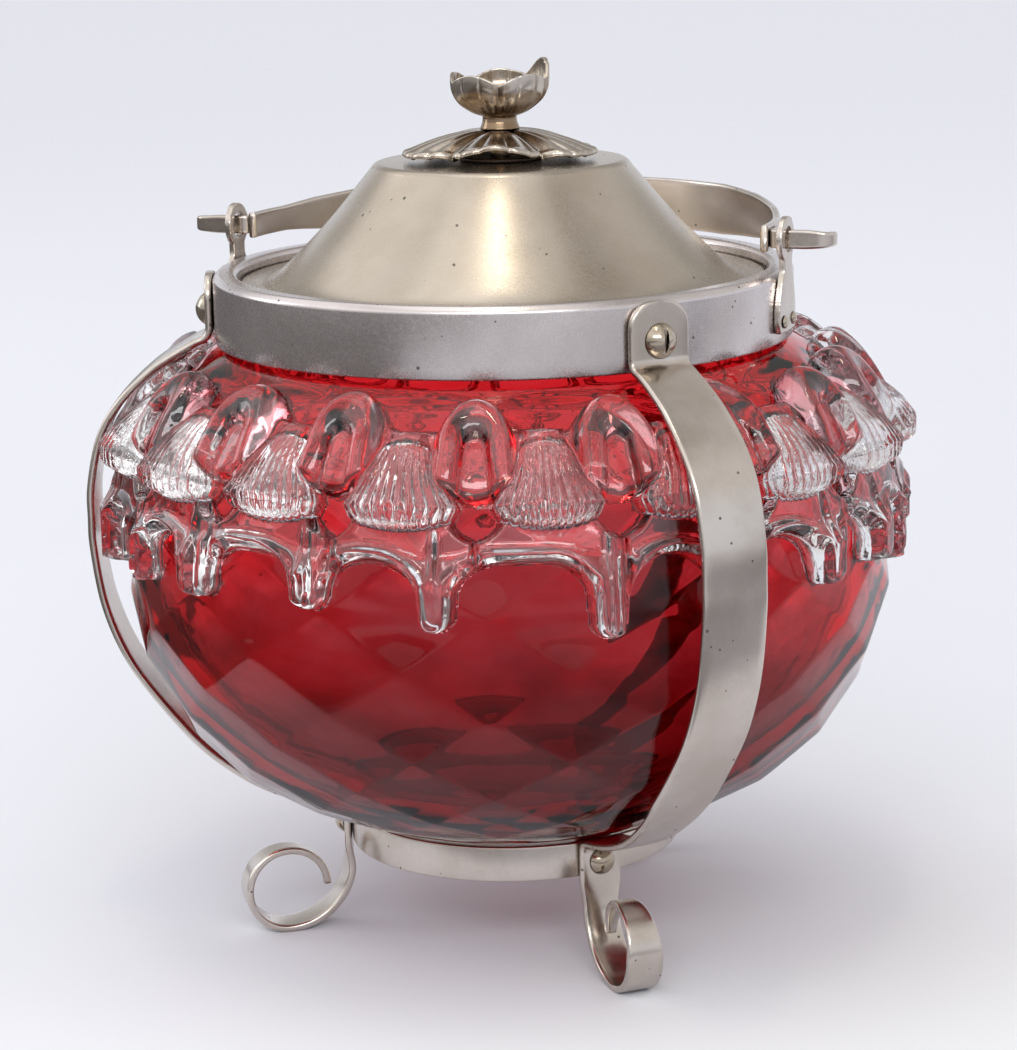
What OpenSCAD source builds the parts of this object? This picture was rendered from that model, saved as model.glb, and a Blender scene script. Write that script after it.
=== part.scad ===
// Biscuit jar: a cased ruby glass bowl with a clear glass frill, held in a plated metal frame
// of three strap legs, with a lift-off lid and a swinging bail handle.
// Origin: on the table, on the jar's axis. +Z is up, X runs along the bail's pivots, and the
// bail lies back towards +Y.

/* [Frame heights] */
// Height of the base ring's underside above the table
ring_lift = 19.3; // [16:0.1:24]
// Height of the base ring band
ring_h = 7.2; // [6.4:0.1:10]
// Height of the glass from the base ring to the neck rim
glass_h = 107.5; // [95:0.5:125]

/* [Base ring] */
// Outer radius of the base ring
ring_r = 34; // [28:0.5:38]
// Sheet thickness of the base ring
ring_t = 1.2; // [0.8:0.1:1.8]

/* [Glass bowl] */
// Outer radius of the bowl at its belly
belly_r = 78; // [70:0.5:84]
// Height of the belly above the base ring
belly_h = 55.5; // [45:0.5:62]
// Thickness of the bowl's wall
glass_wall = 4.5; // [3:0.1:6]
// Distance from the collar's outside in to the neck's outside
neck_inset = 5.5; // [5.2:0.1:8]
// Thickness of the neck's wall
neck_wall = 2.8; // [2:0.1:3.4]
// Height above the collar's lower edge where the straight neck starts
neck_lift = 4.7; // [4:0.1:6]
// Rise of the pushed-up floor at its middle
punt_h = 3.5; // [0:0.1:6]

/* [Glass frill] */
// Number of loops round the frill
frill_count = 18; // [12:1:18]
// Height of the loop tops, below the collar
frill_top_drop = 4.5; // [3:0.1:8]
// Dip of the frill's upper edge beside each loop
loop_rise = 2.2; // [1:0.1:4]
// Height of the wavy band's lower edge, below the collar
frill_band_drop = 30.8; // [28:0.2:36]
// Thickness of the bars that form the loops
loop_bar_d = 5.2; // [4:0.1:6]
// Distance between the middles of a loop's two bars
loop_w = 8.8; // [7:0.1:10]
// Thickness of the frill at its loops
loop_t = 5.4; // [3:0.1:6.5]
// Thickness of the frill at its ribbed shells
shell_t = 8.8; // [6:0.1:9.4]
// Thickness of the frill's wavy band
band_t = 3.4; // [2:0.1:4.5]
// Thickness of the glass left in the windows under the loops
window_t = 0.6; // [0.4:0.1:1]
// Turns of the drips round the jar from -Y, in degrees
drip_turns = [-40, -24, -5, 12, 34, 51, 67, 80, 97, 115, 132, 151, 168, 187, 205, 222, 241, 260, 279, 299];
// Length of a drip below the band's lower edge
drip_l = 14.5; // [8:0.1:17]
// Width of a drip at its tip
drip_w = 6.6; // [4:0.1:8]
// Thickness of the frill at its drips
drip_t = 5.7; // [4:0.1:6.2]
// Depth that the frill is melted into the bowl
fuse_depth = 0.7; // [0.4:0.1:1.2]
// Turn of the frill round the jar, in degrees
frill_turn = 16.6; // [0:0.1:20]

/* [Collar] */
// Outer radius of the collar
collar_r = 58.5; // [57.6:0.1:60]
// Height of the collar band
collar_h = 14; // [12.6:0.1:16]
// Sheet thickness of the collar
collar_t = 1.2; // [0.8:0.1:1.5]
// Width of the collar's rolled top rim
rim_w = 5; // [4.2:0.1:5.4]
// Depth from the rim down to the lid's shelf
shelf_drop = 3.5; // [2.6:0.1:4.5]
// Width of the lid's shelf
shelf_w = 3.3; // [2.6:0.1:3.8]
// Radius of the rolled edge on top of the collar
rim_round = 0.9; // [0.3:0.1:1.2]

/* [Strap legs] */
// Thickness of the strap legs
leg_t = 1.6; // [1.2:0.1:2]
// Width of a strap over the bowl
leg_w = 14; // [11:0.1:16]
// Width of a strap's tab on the collar
tab_w = 13; // [11:0.1:15]
// Corner radius of the tab
tab_round = 5; // [2:0.1:5.4]
// Drop of the tab's top below the collar's rim
tab_drop = 0.5; // [0:0.1:2]
// Distance from the bowl's belly out to the outside of the straps
leg_gap = 7.6; // [6.5:0.1:12]
// Height of the straps' widest point above the bowl's belly
leg_belly_lift = 7; // [3:0.1:10]
// Inner radius of the bend under a tab
tab_bend_r = 1.5; // [1:0.1:2.5]
// Inner radius of the bend over a foot plate
bend_r = 1.2; // [0.8:0.1:1.8]
// Drop of the strap below the base ring's top, at the bend
bend_drop = 0.4; // [0.2:0.1:1]
// Length over which a strap widens below the collar
tab_taper = 9; // [5:0.5:14]
// Length over which a strap narrows towards its foot plate
foot_taper = 16; // [10:0.5:24]
// Width of a leg at its bolt
foot_plate_w = 9.2; // [8:0.1:11]
// Width of the foot strip at the start of its scroll
foot_w = 7.6; // [6:0.1:8]
// Width of the foot strip at its curled tip
foot_tip_w = 2.2; // [1.5:0.1:4]
// Outer diameter of the foot's scroll
scroll_d = 18; // [14:0.1:19]
// Distance from the base ring's outside to the scroll's middle
scroll_out = 14.6; // [13:0.1:20]
// How far the scroll opens out at its curled tip
scroll_open = 0.5; // [0:0.1:1]
// Turn of each foot's scroll about its own upright, in degrees
foot_turns = [-8, 0, 15];
// Turn of the first leg round the jar, from the bail's pivot axis, in degrees
leg_turn = -40; // [-50:1:-30]
// Depth worn flat under each scroll
foot_wear = 0.1; // [0.05:0.01:0.3]

/* [Screws and bolts] */
// Depth of the collar screws below the collar's rim
screw_drop = 8; // [7.5:0.1:9]
// Diameter of a collar screw's head
screw_head_d = 6.9; // [5.5:0.1:8]
// Height of a collar screw's head
screw_head_h = 2.3; // [1.5:0.1:3]
// Diameter of a collar screw's shank
screw_d = 3; // [2.5:0.1:3.2]
// Width of the screw slot
slot_w = 0.9; // [0.6:0.1:1.2]
// Depth of the screw slot
slot_h = 1.1; // [0.6:0.1:1.4]
// Diameter of a foot bolt's domed head
bolt_head_d = 5.6; // [4.6:0.1:6]
// Height of a foot bolt's domed head
bolt_head_h = 2; // [1.2:0.1:2.4]
// Diameter of a foot bolt's shank
bolt_d = 2.6; // [2:0.1:3]
// Height of a foot bolt above the base ring's underside
bolt_lift = 3.1; // [2.9:0.1:3.3]
// Width across the flats of the nuts
nut_w = 5; // [4.4:0.1:5.2]
// Thickness of the nuts
nut_t = 2; // [1.5:0.1:2.2]

/* [Ears] */
// Thickness of the ears
ear_t = 1.3; // [1:0.1:1.8]
// Radius of the ear's eyelet
eyelet_r = 4.5; // [3.8:0.1:5.5]
// Radius of the hole in the eyelet
eyelet_hole_r = 2.5; // [2.4:0.05:3]
// Width of the ear's plate at its widest
ear_w = 11; // [9:0.1:13]
// Width of the ear's neck
ear_neck_w = 5.2; // [4.4:0.1:6.5]
// Height of the ear's plate on the collar
ear_h = 11.6; // [10:0.1:12.4]
// Diameter of the ear rivets
rivet_d = 1.7; // [1.2:0.1:2.2]
// Distance between the two rivets of an ear
rivet_gap = 6; // [5:0.1:7]
// Height of a rivet's head
rivet_head_h = 0.7; // [0.4:0.1:1]
// Height of the rivets above the lower edge of the ear's plate
rivet_lift = 2.2; // [1.8:0.1:3]

/* [Bail handle] */
// Height of the bail's pivots above the collar's rim
pivot_lift = 6.5; // [6.4:0.1:8]
// Distance from the collar's outside in to the bail's outside
bail_inset = 2.7; // [2:0.1:3]
// Thickness of the bail band
bail_t = 1.5; // [1:0.1:1.8]
// Width of the bail band at its middle
bail_w = 10.6; // [8:0.1:11.4]
// Width of the bail band at its ends
bail_end_w = 5.2; // [4:0.1:7]
// Height of the hook bars
hook_w = 3.7; // [3:0.1:4]
// Thickness of the hook bars
hook_t = 2; // [1.4:0.1:2.2]
// Length of a hook's soldered tab along the band
hook_tab_l = 7; // [5:0.1:10]
// Straight length of a hook beyond its ear
hook_reach = 6; // [4:0.1:9]
// Radius of the curl at a hook's end
hook_curl_r = 3.2; // [2.2:0.1:4]

/* [Lid] */
// Sheet thickness of the lid
lid_t = 1; // [0.7:0.1:1.3]
// Rise of the lid's flat top above the collar's rim
lid_rise = 21; // [16:0.5:26]
// Radius of the lid's flat top
lid_top_r = 26.3; // [22:0.1:30]
// Width of the lid's flange, out from its flare
flange_w = 4.7; // [4:0.1:7]
// Radius of the shoulder round the flat top
lid_round = 2; // [1:0.1:3]
// Height of the locating bezel under the flange
bezel_h = 4.6; // [3:0.1:7]
// Sheet thickness of the bezel
bezel_t = 1; // [0.7:0.1:1.4]

/* [Finial] */
// Radius of the raised seat disc
seat_r = 8.2; // [6.5:0.1:10]
// Height of the raised seat disc
seat_h = 0.8; // [0.5:0.1:1.5]
// Radius of the leaf rosette
rosette_r = 20; // [16:0.1:22]
// Height of the domed rosette
rosette_h = 5.2; // [3.5:0.1:7]
// Sheet thickness of the rosette
rosette_t = 1; // [0.7:0.1:1.4]
// Number of leaves in the rosette
leaf_count = 5; // [5:1:9]
// Turn of the leaves round the jar, in degrees
leaf_turn = 36; // [0:1:72]
// Depth of the notches between the leaves
leaf_notch = 4; // [1:0.1:6]
// Scallops along the edge of a leaf
leaf_scallops = 5; // [1:1:5]
// Depth of the scallops
scallop_depth = 0.6; // [0:0.1:1]
// Radius of the flower's stem
stem_r = 3.4; // [2.8:0.1:4.5]
// Flare of the stem's foot
stem_flare = 0.6; // [0.5:0.1:2]
// Length of the stem between rosette and cup
stem_l = 2.6; // [1:0.1:6]
// Radius of the flower cup at its rim
cup_r = 10.4; // [8:0.1:12]
// Height of the flower cup up to its shorter petals
cup_h = 9; // [7:0.1:12]
// Extra height of the tallest petal
petal_extra = 2.6; // [0:0.1:4]
// Thickness of the petals
petal_t = 1.1; // [0.8:0.1:1.5]
// Number of petals
petal_count = 5; // [4:1:7]
// Turn of the flower round its stem, in degrees
petal_turn = -33; // [-90:1:90]
// Depth of the dips between the petals
petal_dip = 2.6; // [1:0.1:4]
// Diameter of the stud under the flower
stud_d = 4; // [3:0.1:5]
// Width across the flats of the finial nut
finial_nut_w = 7; // [6:0.1:9]
// Thickness of the finial nut
finial_nut_t = 2.4; // [1.5:0.1:3]

/* [Clearances] */
// Gap between faces that are screwed, soldered or seated on each other
fit_gap = 0.05; // [0.02:0.01:0.08]
// Gap round a shank in its hole
shank_gap = 0.1; // [0.05:0.01:0.2]
// Gap under the lid's flange, and between the collar's shelf and the neck
seat_gap = 0.1; // [0.05:0.01:0.2]
// Gap between the leaf tips and the lid
leaf_gap = 0.3; // [0.1:0.1:0.6]
// Gap between the lid's edge and the collar, and round the bezel
lid_gap = 0.6; // [0.4:0.1:1]
// Gap between the bowl's shoulder and the inside of the collar's lower edge
shoulder_gap = 1.2; // [0.8:0.1:1.6]
// Least gap between the frill and the straps
frill_gap = 0.5; // [0.3:0.1:1]

/* [Hidden] */
$fn = 96;

silver = [0.72, 0.70, 0.66];
worn_silver = [0.62, 0.60, 0.56];
ruby = [0.62, 0.05, 0.10];
clear_glass = [0.92, 0.90, 0.92];

// Heights, from the table up.
ring_top = ring_lift + ring_h;
glass_base = ring_top + seat_gap;
belly_z = ring_top + belly_h;
neck_top = glass_base + glass_h;
shelf_top = neck_top + seat_gap + collar_t;
collar_top = shelf_top + shelf_drop;
collar_bottom = collar_top - collar_h;
screw_z = collar_top - screw_drop;
bolt_z = ring_lift + bolt_lift;
pivot_z = collar_top + pivot_lift;
flange_z = shelf_top + seat_gap;
lid_top = collar_top + lid_rise;

// Radii.
neck_r = collar_r - neck_inset;
recess_r = collar_r - rim_w;
shelf_hole_r = recess_r - shelf_w;
flange_r = recess_r - lid_gap;
flare_r = flange_r - flange_w;
bail_r = collar_r - bail_inset;
leg_reach = belly_r + leg_gap;
scroll_r = ring_r + scroll_out;
bezel_r = shelf_hole_r - lid_gap;
tab_out = collar_r + fit_gap + leg_t;
foot_in = ring_r + fit_gap;
foot_out = foot_in + leg_t;
ear_in = collar_r + fit_gap;
leg_angles = [for (i = [0:2]) leg_turn + 120 * i];

// A point on the smooth curve through p0, p1, p2, p3, between p1 and p2.
function blend_point(p0, p1, p2, p3, t) =
    0.5 * (2 * p1 + (p2 - p0) * t + (2 * p0 - 5 * p1 + 4 * p2 - p3) * t * t
    + (3 * p1 - p0 - 3 * p2 + p3) * t * t * t);

// A smooth curve through the given points, with the given steps between each two.
function smooth(pts, steps) = [
    for (i = [0:len(pts) - 2], s = [0:steps - 1])
        blend_point(pts[max(i - 1, 0)], pts[i], pts[i + 1], pts[min(i + 2, len(pts) - 1)], s / steps),
    pts[len(pts) - 1]
];

// Points on an arc round [x, y].
function arc(x, y, r, from, to, steps) =
    [for (i = [0:steps]) let (a = from + (to - from) * i / steps) [x + r * cos(a), y + r * sin(a)]];

// The path moved sideways by d, to the left of its direction.
function beside(path, d) = [
    for (i = [0:len(path) - 1])
        let (run = path[min(i + 1, len(path) - 1)] - path[max(i - 1, 0)])
        path[i] + d * [-run.y, run.x] / norm(run)
];

function reversed(list) = [for (i = [len(list) - 1:-1:0]) list[i]];

// Outline of a curve from one corner to another: each share is [across, up], from 0 to 1.
function between(from, to, shares) =
    [for (s = shares) [from.x + (to.x - from.x) * s.x, from.y + (to.y - from.y) * s.y]];

// Bowl outline, outside, from the base ring up to the neck's rim.
bowl_low = [[0, 0], [0.09, 0.037], [0.2, 0.07], [0.35, 0.12], [0.54, 0.21], [0.68, 0.31],
    [0.825, 0.465], [0.94, 0.66], [0.99, 0.82], [1, 1]];
bowl_high = [[1, 0.11], [0.955, 0.333], [0.817, 0.6], [0.566, 0.81], [0.27, 0.923], [0, 1]];
neck_foot = collar_bottom + neck_lift;
shoulder_r = collar_r - collar_t - shoulder_gap;
bowl_out = smooth(concat(
    between([ring_r, glass_base], [belly_r, belly_z], bowl_low),
    between([shoulder_r, belly_z], [belly_r, collar_bottom], bowl_high),
    [[0.7 * neck_r + 0.3 * shoulder_r, collar_bottom + 0.5 * neck_lift], [neck_r, neck_foot]]), 3);
bowl_in = concat(
    [for (p = beside(bowl_out, glass_wall)) if (p.y < collar_bottom) p],
    [[neck_r - neck_wall, neck_foot], [neck_r - neck_wall, neck_top]]);
bowl_radii = [for (p = bowl_out) [p.y, p.x]];
function bowl_radius(z) = lookup(z, bowl_radii);

module glass_jar() {
    color(ruby)
    rotate_extrude()
    polygon(concat(
        [[0, glass_base + punt_h + glass_wall], [0, glass_base + punt_h],
        [0.6 * ring_r, glass_base + 0.5 * punt_h]],
        bowl_out, [[neck_r, neck_top]], reversed(bowl_in)));
}

// Strap outline, outer face, from the collar's tab round the belly to the bend at the foot.
tab_bend_z = screw_z - screw_head_d / 2;
tab_bend = arc(tab_out + tab_bend_r, tab_bend_z, tab_bend_r, 180, 240, 5);
bend_z = ring_top - bend_drop;
leg_belly_z = belly_z + leg_belly_lift;
leg_high = [[0.1, 1.015], [0.28, 0.945], [0.47, 0.855], [0.72, 0.685], [0.895, 0.485],
    [0.99, 0.2], [1, 0]];
leg_low = [[0.997, 0.9], [0.96, 0.71], [0.88, 0.54], [0.76, 0.395], [0.58, 0.225], [0.44, 0.13],
    [0.32, 0.07], [0.21, 0.035], [0.1, 0.012], [0, 0]];
leg_path = concat(
    [[tab_out, collar_top - tab_drop]],
    [for (i = [0:4]) tab_bend[i]],
    smooth(concat(
        [tab_bend[5]],
        between([tab_out, leg_belly_z], [leg_reach, collar_bottom], leg_high),
        between([foot_out + bend_r, bend_z], [leg_reach, leg_belly_z], leg_low)), 4),
    arc(foot_out + bend_r, bend_z - bend_r, bend_r, 105, 180, 5),
    [[foot_out, ring_lift - 0.5]]);
leg_inside = beside(leg_path, -leg_t);
leg_radii = reversed([for (p = leg_inside) if (p.y > leg_belly_z && p.y < collar_bottom + 1) [p.y, p.x]]);

// Foot outline, middle of the strip: down, then outwards into the scroll.
scroll_mid = (scroll_d - leg_t) / 2;
sweep_r = scroll_r - (foot_in + leg_t / 2);
foot_path = concat(
    [[foot_in + leg_t / 2, ring_lift - 0.2]],
    arc(scroll_r, sweep_r + leg_t / 2, sweep_r, 180, 270, 16),
    arc(scroll_r, scroll_d / 2, scroll_mid, 285, 450, 22),
    [for (a = [100:10:180])
        [scroll_r, scroll_d / 2] + (scroll_mid + scroll_open * (a - 90) / 90) * [cos(a), sin(a)]]);

// A strip of the given width, bent along a path in the jar's radial plane.
module bent_strip(path, inside, w) {
    rotate([90, 0, 0])
    linear_extrude(w, center = true)
    polygon(concat(path, reversed(inside)));
}

// Front outline of a strap: the rounded tab on top, the full width below, the plate at the foot.
module strap_front() {
    top = collar_top - tab_drop;
    half = [tab_w, leg_w, foot_plate_w] / 2;
    right = concat(
        arc(half[0] - tab_round, top - tab_round, tab_round, 90, 0, 10),
        [[half[0], collar_bottom], [half[1], collar_bottom - tab_taper], [half[1], ring_top + foot_taper],
        [half[2], ring_top + bend_drop], [half[2], ring_lift - leg_t]]);
    polygon(concat(right, reversed([for (p = right) [-p.x, p.y]])));
}

// The foot's strip: an upright and a scroll, which narrows from its outermost point to its tip.
module scroll_foot(turn) {
    outermost = scroll_r + scroll_d / 2;
    tip = scroll_r - scroll_d / 2;
    upright = foot_in + leg_t / 2;
    translate([upright, 0, 0])
    rotate(turn)
    translate([-upright, 0, 0])
    difference() {
        bent_strip(beside(foot_path, leg_t / 2), beside(foot_path, -leg_t / 2), foot_w);
        for (s = [0, 1]) mirror([0, s, 0])
            translate([0, 0, scroll_d / 2])
            linear_extrude(scroll_d)
            polygon([[outermost + 1, foot_w / 2], [tip - 0.2, foot_tip_w / 2], [tip - 0.2, foot_w],
                [outermost + 1, foot_w]]);
        translate([scroll_r - 4, -foot_w, -1])
        cube([8, 2 * foot_w, 1 + foot_wear]);
    }
}

module strap_leg(i) {
    color(silver)
    rotate(leg_angles[i])
    difference() {
        union() {
            intersection() {
                bent_strip(leg_path, leg_inside, leg_w + 1);
                rotate([90, 0, 90]) linear_extrude(2 * leg_reach) strap_front();
            }
            translate([0, 0, -foot_wear]) scroll_foot(foot_turns[i]);
        }
        translate([collar_r - 2, 0, screw_z]) rotate([0, 90, 0])
        cylinder(d = screw_d + 2 * shank_gap, h = 10);
        translate([ring_r - 2, 0, bolt_z]) rotate([0, 90, 0])
        cylinder(d = bolt_d + 2 * shank_gap, h = 8);
    }
}

// A domed head with its shank along +X, seated at x = 0.
module domed_screw(head_d, head_h, shank_d, shank_l) {
    dome_r = (head_d * head_d / 4 + head_h * head_h) / (2 * head_h);
    rotate([0, 90, 0]) {
        rotate_extrude()
        polygon(concat([[0, 0]], arc(0, head_h - dome_r, dome_r, asin(1 - head_h / dome_r), 90, 14)));
        translate([0, 0, -shank_l]) cylinder(d = shank_d, h = shank_l + 0.2);
    }
}

// Where a hex nut of the given width starts, so that its corners clear a band's inner face.
function nut_seat(band_in) = sqrt(pow(band_in, 2) - pow(nut_w / 2 / cos(30), 2)) - fit_gap - nut_t;

module hex_nut(w, t, hole_d) {
    rotate([0, 90, 0])
    difference() {
        cylinder(d = w / cos(30), h = t, $fn = 6);
        translate([0, 0, -1]) cylinder(d = hole_d, h = t + 2);
    }
}

module collar_screw(i) {
    seat = tab_out + fit_gap;
    shank_l = seat - nut_seat(collar_r - collar_t) + 0.4;
    color(worn_silver)
    rotate(leg_angles[i])
    translate([seat, 0, screw_z])
    difference() {
        domed_screw(screw_head_d, screw_head_h, screw_d, shank_l);
        rotate([-6, 0, 0])
        translate([screw_head_h - slot_h, -slot_w / 2, -screw_head_d])
        cube([slot_h + 1, slot_w, 2 * screw_head_d]);
    }
}

module collar_nut(i) {
    color(worn_silver)
    rotate(leg_angles[i])
    translate([nut_seat(collar_r - collar_t), 0, screw_z])
    hex_nut(nut_w, nut_t, screw_d + 2 * fit_gap);
}

module foot_bolt(i) {
    seat = foot_out + fit_gap;
    shank_l = seat - nut_seat(ring_r - ring_t) + 0.4;
    color(worn_silver)
    rotate(leg_angles[i])
    translate([seat, 0, bolt_z])
    domed_screw(bolt_head_d, bolt_head_h, bolt_d, shank_l);
}

module foot_nut(i) {
    color(worn_silver)
    rotate(leg_angles[i])
    translate([nut_seat(ring_r - ring_t), 0, bolt_z])
    hex_nut(nut_w, nut_t, bolt_d + 2 * fit_gap);
}

// Radial holes through a band, one at each leg.
module leg_holes(r, z, d) {
    for (a = leg_angles)
        rotate(a) translate([r - 4, 0, z]) rotate([0, 90, 0]) cylinder(d = d + 2 * shank_gap, h = 8);
}

module collar() {
    inner_wall = recess_r + collar_t;
    outer_in = collar_r - collar_t;
    color(silver)
    difference() {
        rotate_extrude()
        polygon(concat(
            [[collar_r, collar_bottom]],
            arc(collar_r - rim_round, collar_top - rim_round, rim_round, 0, 90, 6),
            arc(recess_r + rim_round, collar_top - rim_round, rim_round, 90, 180, 6),
            [[recess_r, shelf_top], [shelf_hole_r, shelf_top], [shelf_hole_r, shelf_top - collar_t],
            [inner_wall, shelf_top - collar_t], [inner_wall, collar_top - collar_t],
            [outer_in, collar_top - collar_t], [outer_in, collar_bottom]]));
        leg_holes(collar_r, screw_z, screw_d);
        for (side = [0, 180]) rotate(side) rivet_holes();
    }
}

module base_ring() {
    color(silver)
    difference() {
        translate([0, 0, ring_lift]) cylinder(r = ring_r, h = ring_h);
        translate([0, 0, ring_lift - 1]) cylinder(r = ring_r - ring_t, h = ring_h + 2);
        leg_holes(ring_r, bolt_z, bolt_d);
    }
}

// Ears: an eyelet on a bell-shaped plate, curved to the collar.
rivet_z = collar_top - ear_h + rivet_lift;

module rivet_holes() {
    for (y = [-1, 1] * rivet_gap / 2)
        translate([collar_r - 3, y, rivet_z]) rotate([0, 90, 0])
        cylinder(d = rivet_d + 2 * shank_gap, h = 6, $fn = 48);
}

module ear(side) {
    half = [ear_neck_w, ear_w] / 2;
    foot = collar_top - ear_h;
    edge = smooth([[half[0], pivot_z - eyelet_hole_r - 1], [half[0], collar_top + 0.5],
        [0.6 * half[0] + 0.4 * half[1], collar_top - 1.5],
        [0.96 * half[1], collar_top - 6], [half[1], foot + 2], [half[1] - 0.6, foot]], 4);
    color(silver)
    rotate(side)
    difference() {
        intersection() {
            union() {
                rotate([90, 0, 90])
                linear_extrude(2 * collar_r)
                polygon(concat(edge, reversed([for (p = edge) [-p.x, p.y]])));
                translate([0, 0, pivot_z]) rotate([0, 90, 0]) cylinder(r = eyelet_r, h = 2 * collar_r);
            }
            difference() {
                cylinder(r = ear_in + ear_t, h = 2 * collar_top);
                translate([0, 0, -1]) cylinder(r = ear_in, h = 2 * collar_top + 2);
            }
        }
        translate([collar_r - 3, 0, pivot_z]) rotate([0, 90, 0]) cylinder(r = eyelet_hole_r, h = 8);
        rivet_holes();
    }
}

module ear_rivets(side) {
    color(worn_silver)
    rotate(side)
    for (y = [-1, 1] * rivet_gap / 2)
        translate([ear_in + ear_t, y, rivet_z])
        domed_screw(rivet_d + 1, rivet_head_h, rivet_d, ear_t + collar_t + 0.3);
}

// Bail: a flat band bowed round the lid, broad at its middle and narrow at its ends.
module bail_band() {
    wide = 0.66 * bail_r;
    half = [bail_w, bail_end_w] / 2;
    edge = concat(smooth([[0.35 * bail_r, half[0]], [wide, half[0]],
        [0.9 * bail_r, 0.45 * half[0] + 0.55 * half[1]], [0.97 * bail_r, half[1]]], 6),
        [[bail_r + 1, half[1]]]);
    top = concat([for (p = reversed(edge)) [-p.x, p.y]], edge);
    color(silver)
    translate([0, 0, pivot_z])
    intersection() {
        difference() {
            translate([0, 0, -bail_w]) cylinder(r = bail_r, h = 2 * bail_w);
            translate([0, 0, -bail_w - 1]) cylinder(r = bail_r - bail_t, h = 2 * bail_w + 2);
        }
        rotate([90, 0, 180])
        linear_extrude(2 * bail_r)
        polygon(concat(top, reversed([for (p = top) [p.x, -p.y]])));
        translate([-2 * bail_r, -hook_t / 2, -bail_w]) cube([4 * bail_r, 2 * bail_r, 2 * bail_w]);
    }
}

// A hook: a tab soldered on the band's end, and a bar through the eyelet with a curled end.
module bail_hook(side) {
    tab_in = bail_r + fit_gap;
    tab_t = 1.3;
    bar_end = ear_in + ear_t + hook_reach;
    color(worn_silver)
    translate([0, 0, pivot_z])
    mirror([side, 0, 0]) {
        intersection() {
            difference() {
                translate([0, 0, -hook_w / 2]) cylinder(r = tab_in + tab_t, h = hook_w);
                translate([0, 0, -hook_w]) cylinder(r = tab_in, h = 2 * hook_w);
            }
            translate([0, -hook_t / 2, -hook_w]) cube([2 * bail_r, hook_tab_l, 2 * hook_w]);
        }
        translate([tab_in + tab_t / 2, -hook_t / 2, -hook_w / 2])
        cube([bar_end - tab_in - tab_t / 2, hook_t, hook_w]);
        translate([bar_end - 0.01, hook_curl_r - hook_t / 2, -hook_w / 2])
        rotate(-90)
        rotate_extrude(angle = 150)
        translate([hook_curl_r - hook_t, 0]) square([hook_t, hook_w]);
    }
}

// Lid outline, outer face, from the flange's edge up the flare to the flat top.
lid_flare = [[0.14, 0.08], [0.32, 0.23], [0.5, 0.4], [0.68, 0.58], [0.86, 0.78]];
lid_path = concat(
    [[flange_r, flange_z + lid_t]],
    smooth(concat(
        [[flare_r + 1.2, flange_z + lid_t], [flare_r, flange_z + 1.2 * lid_t]],
        between([flare_r, flange_z + lid_t],
            [lid_top_r + 0.5 * lid_round, lid_top - 0.6 * lid_round], lid_flare)), 4),
    arc(lid_top_r - lid_round, lid_top - lid_round, lid_round, 25, 90, 6),
    [[0, lid_top]]);

module lid_shell() {
    color(silver)
    difference() {
        rotate_extrude() polygon(concat(lid_path, reversed(beside(lid_path, lid_t))));
        cylinder(d = stud_d + 2 * shank_gap, h = 2 * lid_top);
    }
}

module lid_bezel() {
    top = flange_z - fit_gap;
    color(silver)
    difference() {
        translate([0, 0, top - bezel_h]) cylinder(r = bezel_r, h = bezel_h);
        translate([0, 0, top - bezel_h - 1]) cylinder(r = bezel_r - bezel_t, h = bezel_h + 2);
    }
}

// Finial: seat disc, domed leaf rosette, and a flower cup on a stem with a stud and nut.
seat_top = lid_top + fit_gap + seat_h;
rosette_base = seat_top + fit_gap;
flower_base = rosette_base + rosette_h + fit_gap;
cup_base = flower_base + stem_l;

module finial_seat() {
    color(silver)
    difference() {
        translate([0, 0, lid_top + fit_gap]) cylinder(r = seat_r, h = seat_h);
        cylinder(d = stud_d + 2 * shank_gap, h = 2 * lid_top);
    }
}

// One leaf's share of the turn runs from notch to notch, with smaller scallops along its edge.
function leaf_edge(a) =
    let (turn = leaf_count * (a - leaf_turn) / 2)
    let (leaf = abs(sin(turn)), scallop = abs(sin(leaf_scallops * turn)))
    rosette_r - leaf_notch * pow(1 - leaf, 2) - scallop_depth * (1 - scallop);

module finial_rosette() {
    top = rosette_base + rosette_h;
    edge_z = lid_top + rosette_t + leaf_gap;
    dome = concat([[0, top]], smooth([[0.25 * rosette_r, top],
        [0.6 * rosette_r, rosette_base + 0.62 * rosette_h], [rosette_r, edge_z]], 8));
    color(worn_silver)
    difference() {
        intersection() {
            rotate_extrude() polygon(concat(dome, reversed(beside(dome, -rosette_t))));
            translate([0, 0, lid_top]) linear_extrude(2 * rosette_h)
            polygon([for (a = [0:3:357]) leaf_edge(a) * [cos(a), sin(a)]]);
        }
        cylinder(d = stud_d + 2 * shank_gap, h = 2 * lid_top);
    }
}

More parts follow.
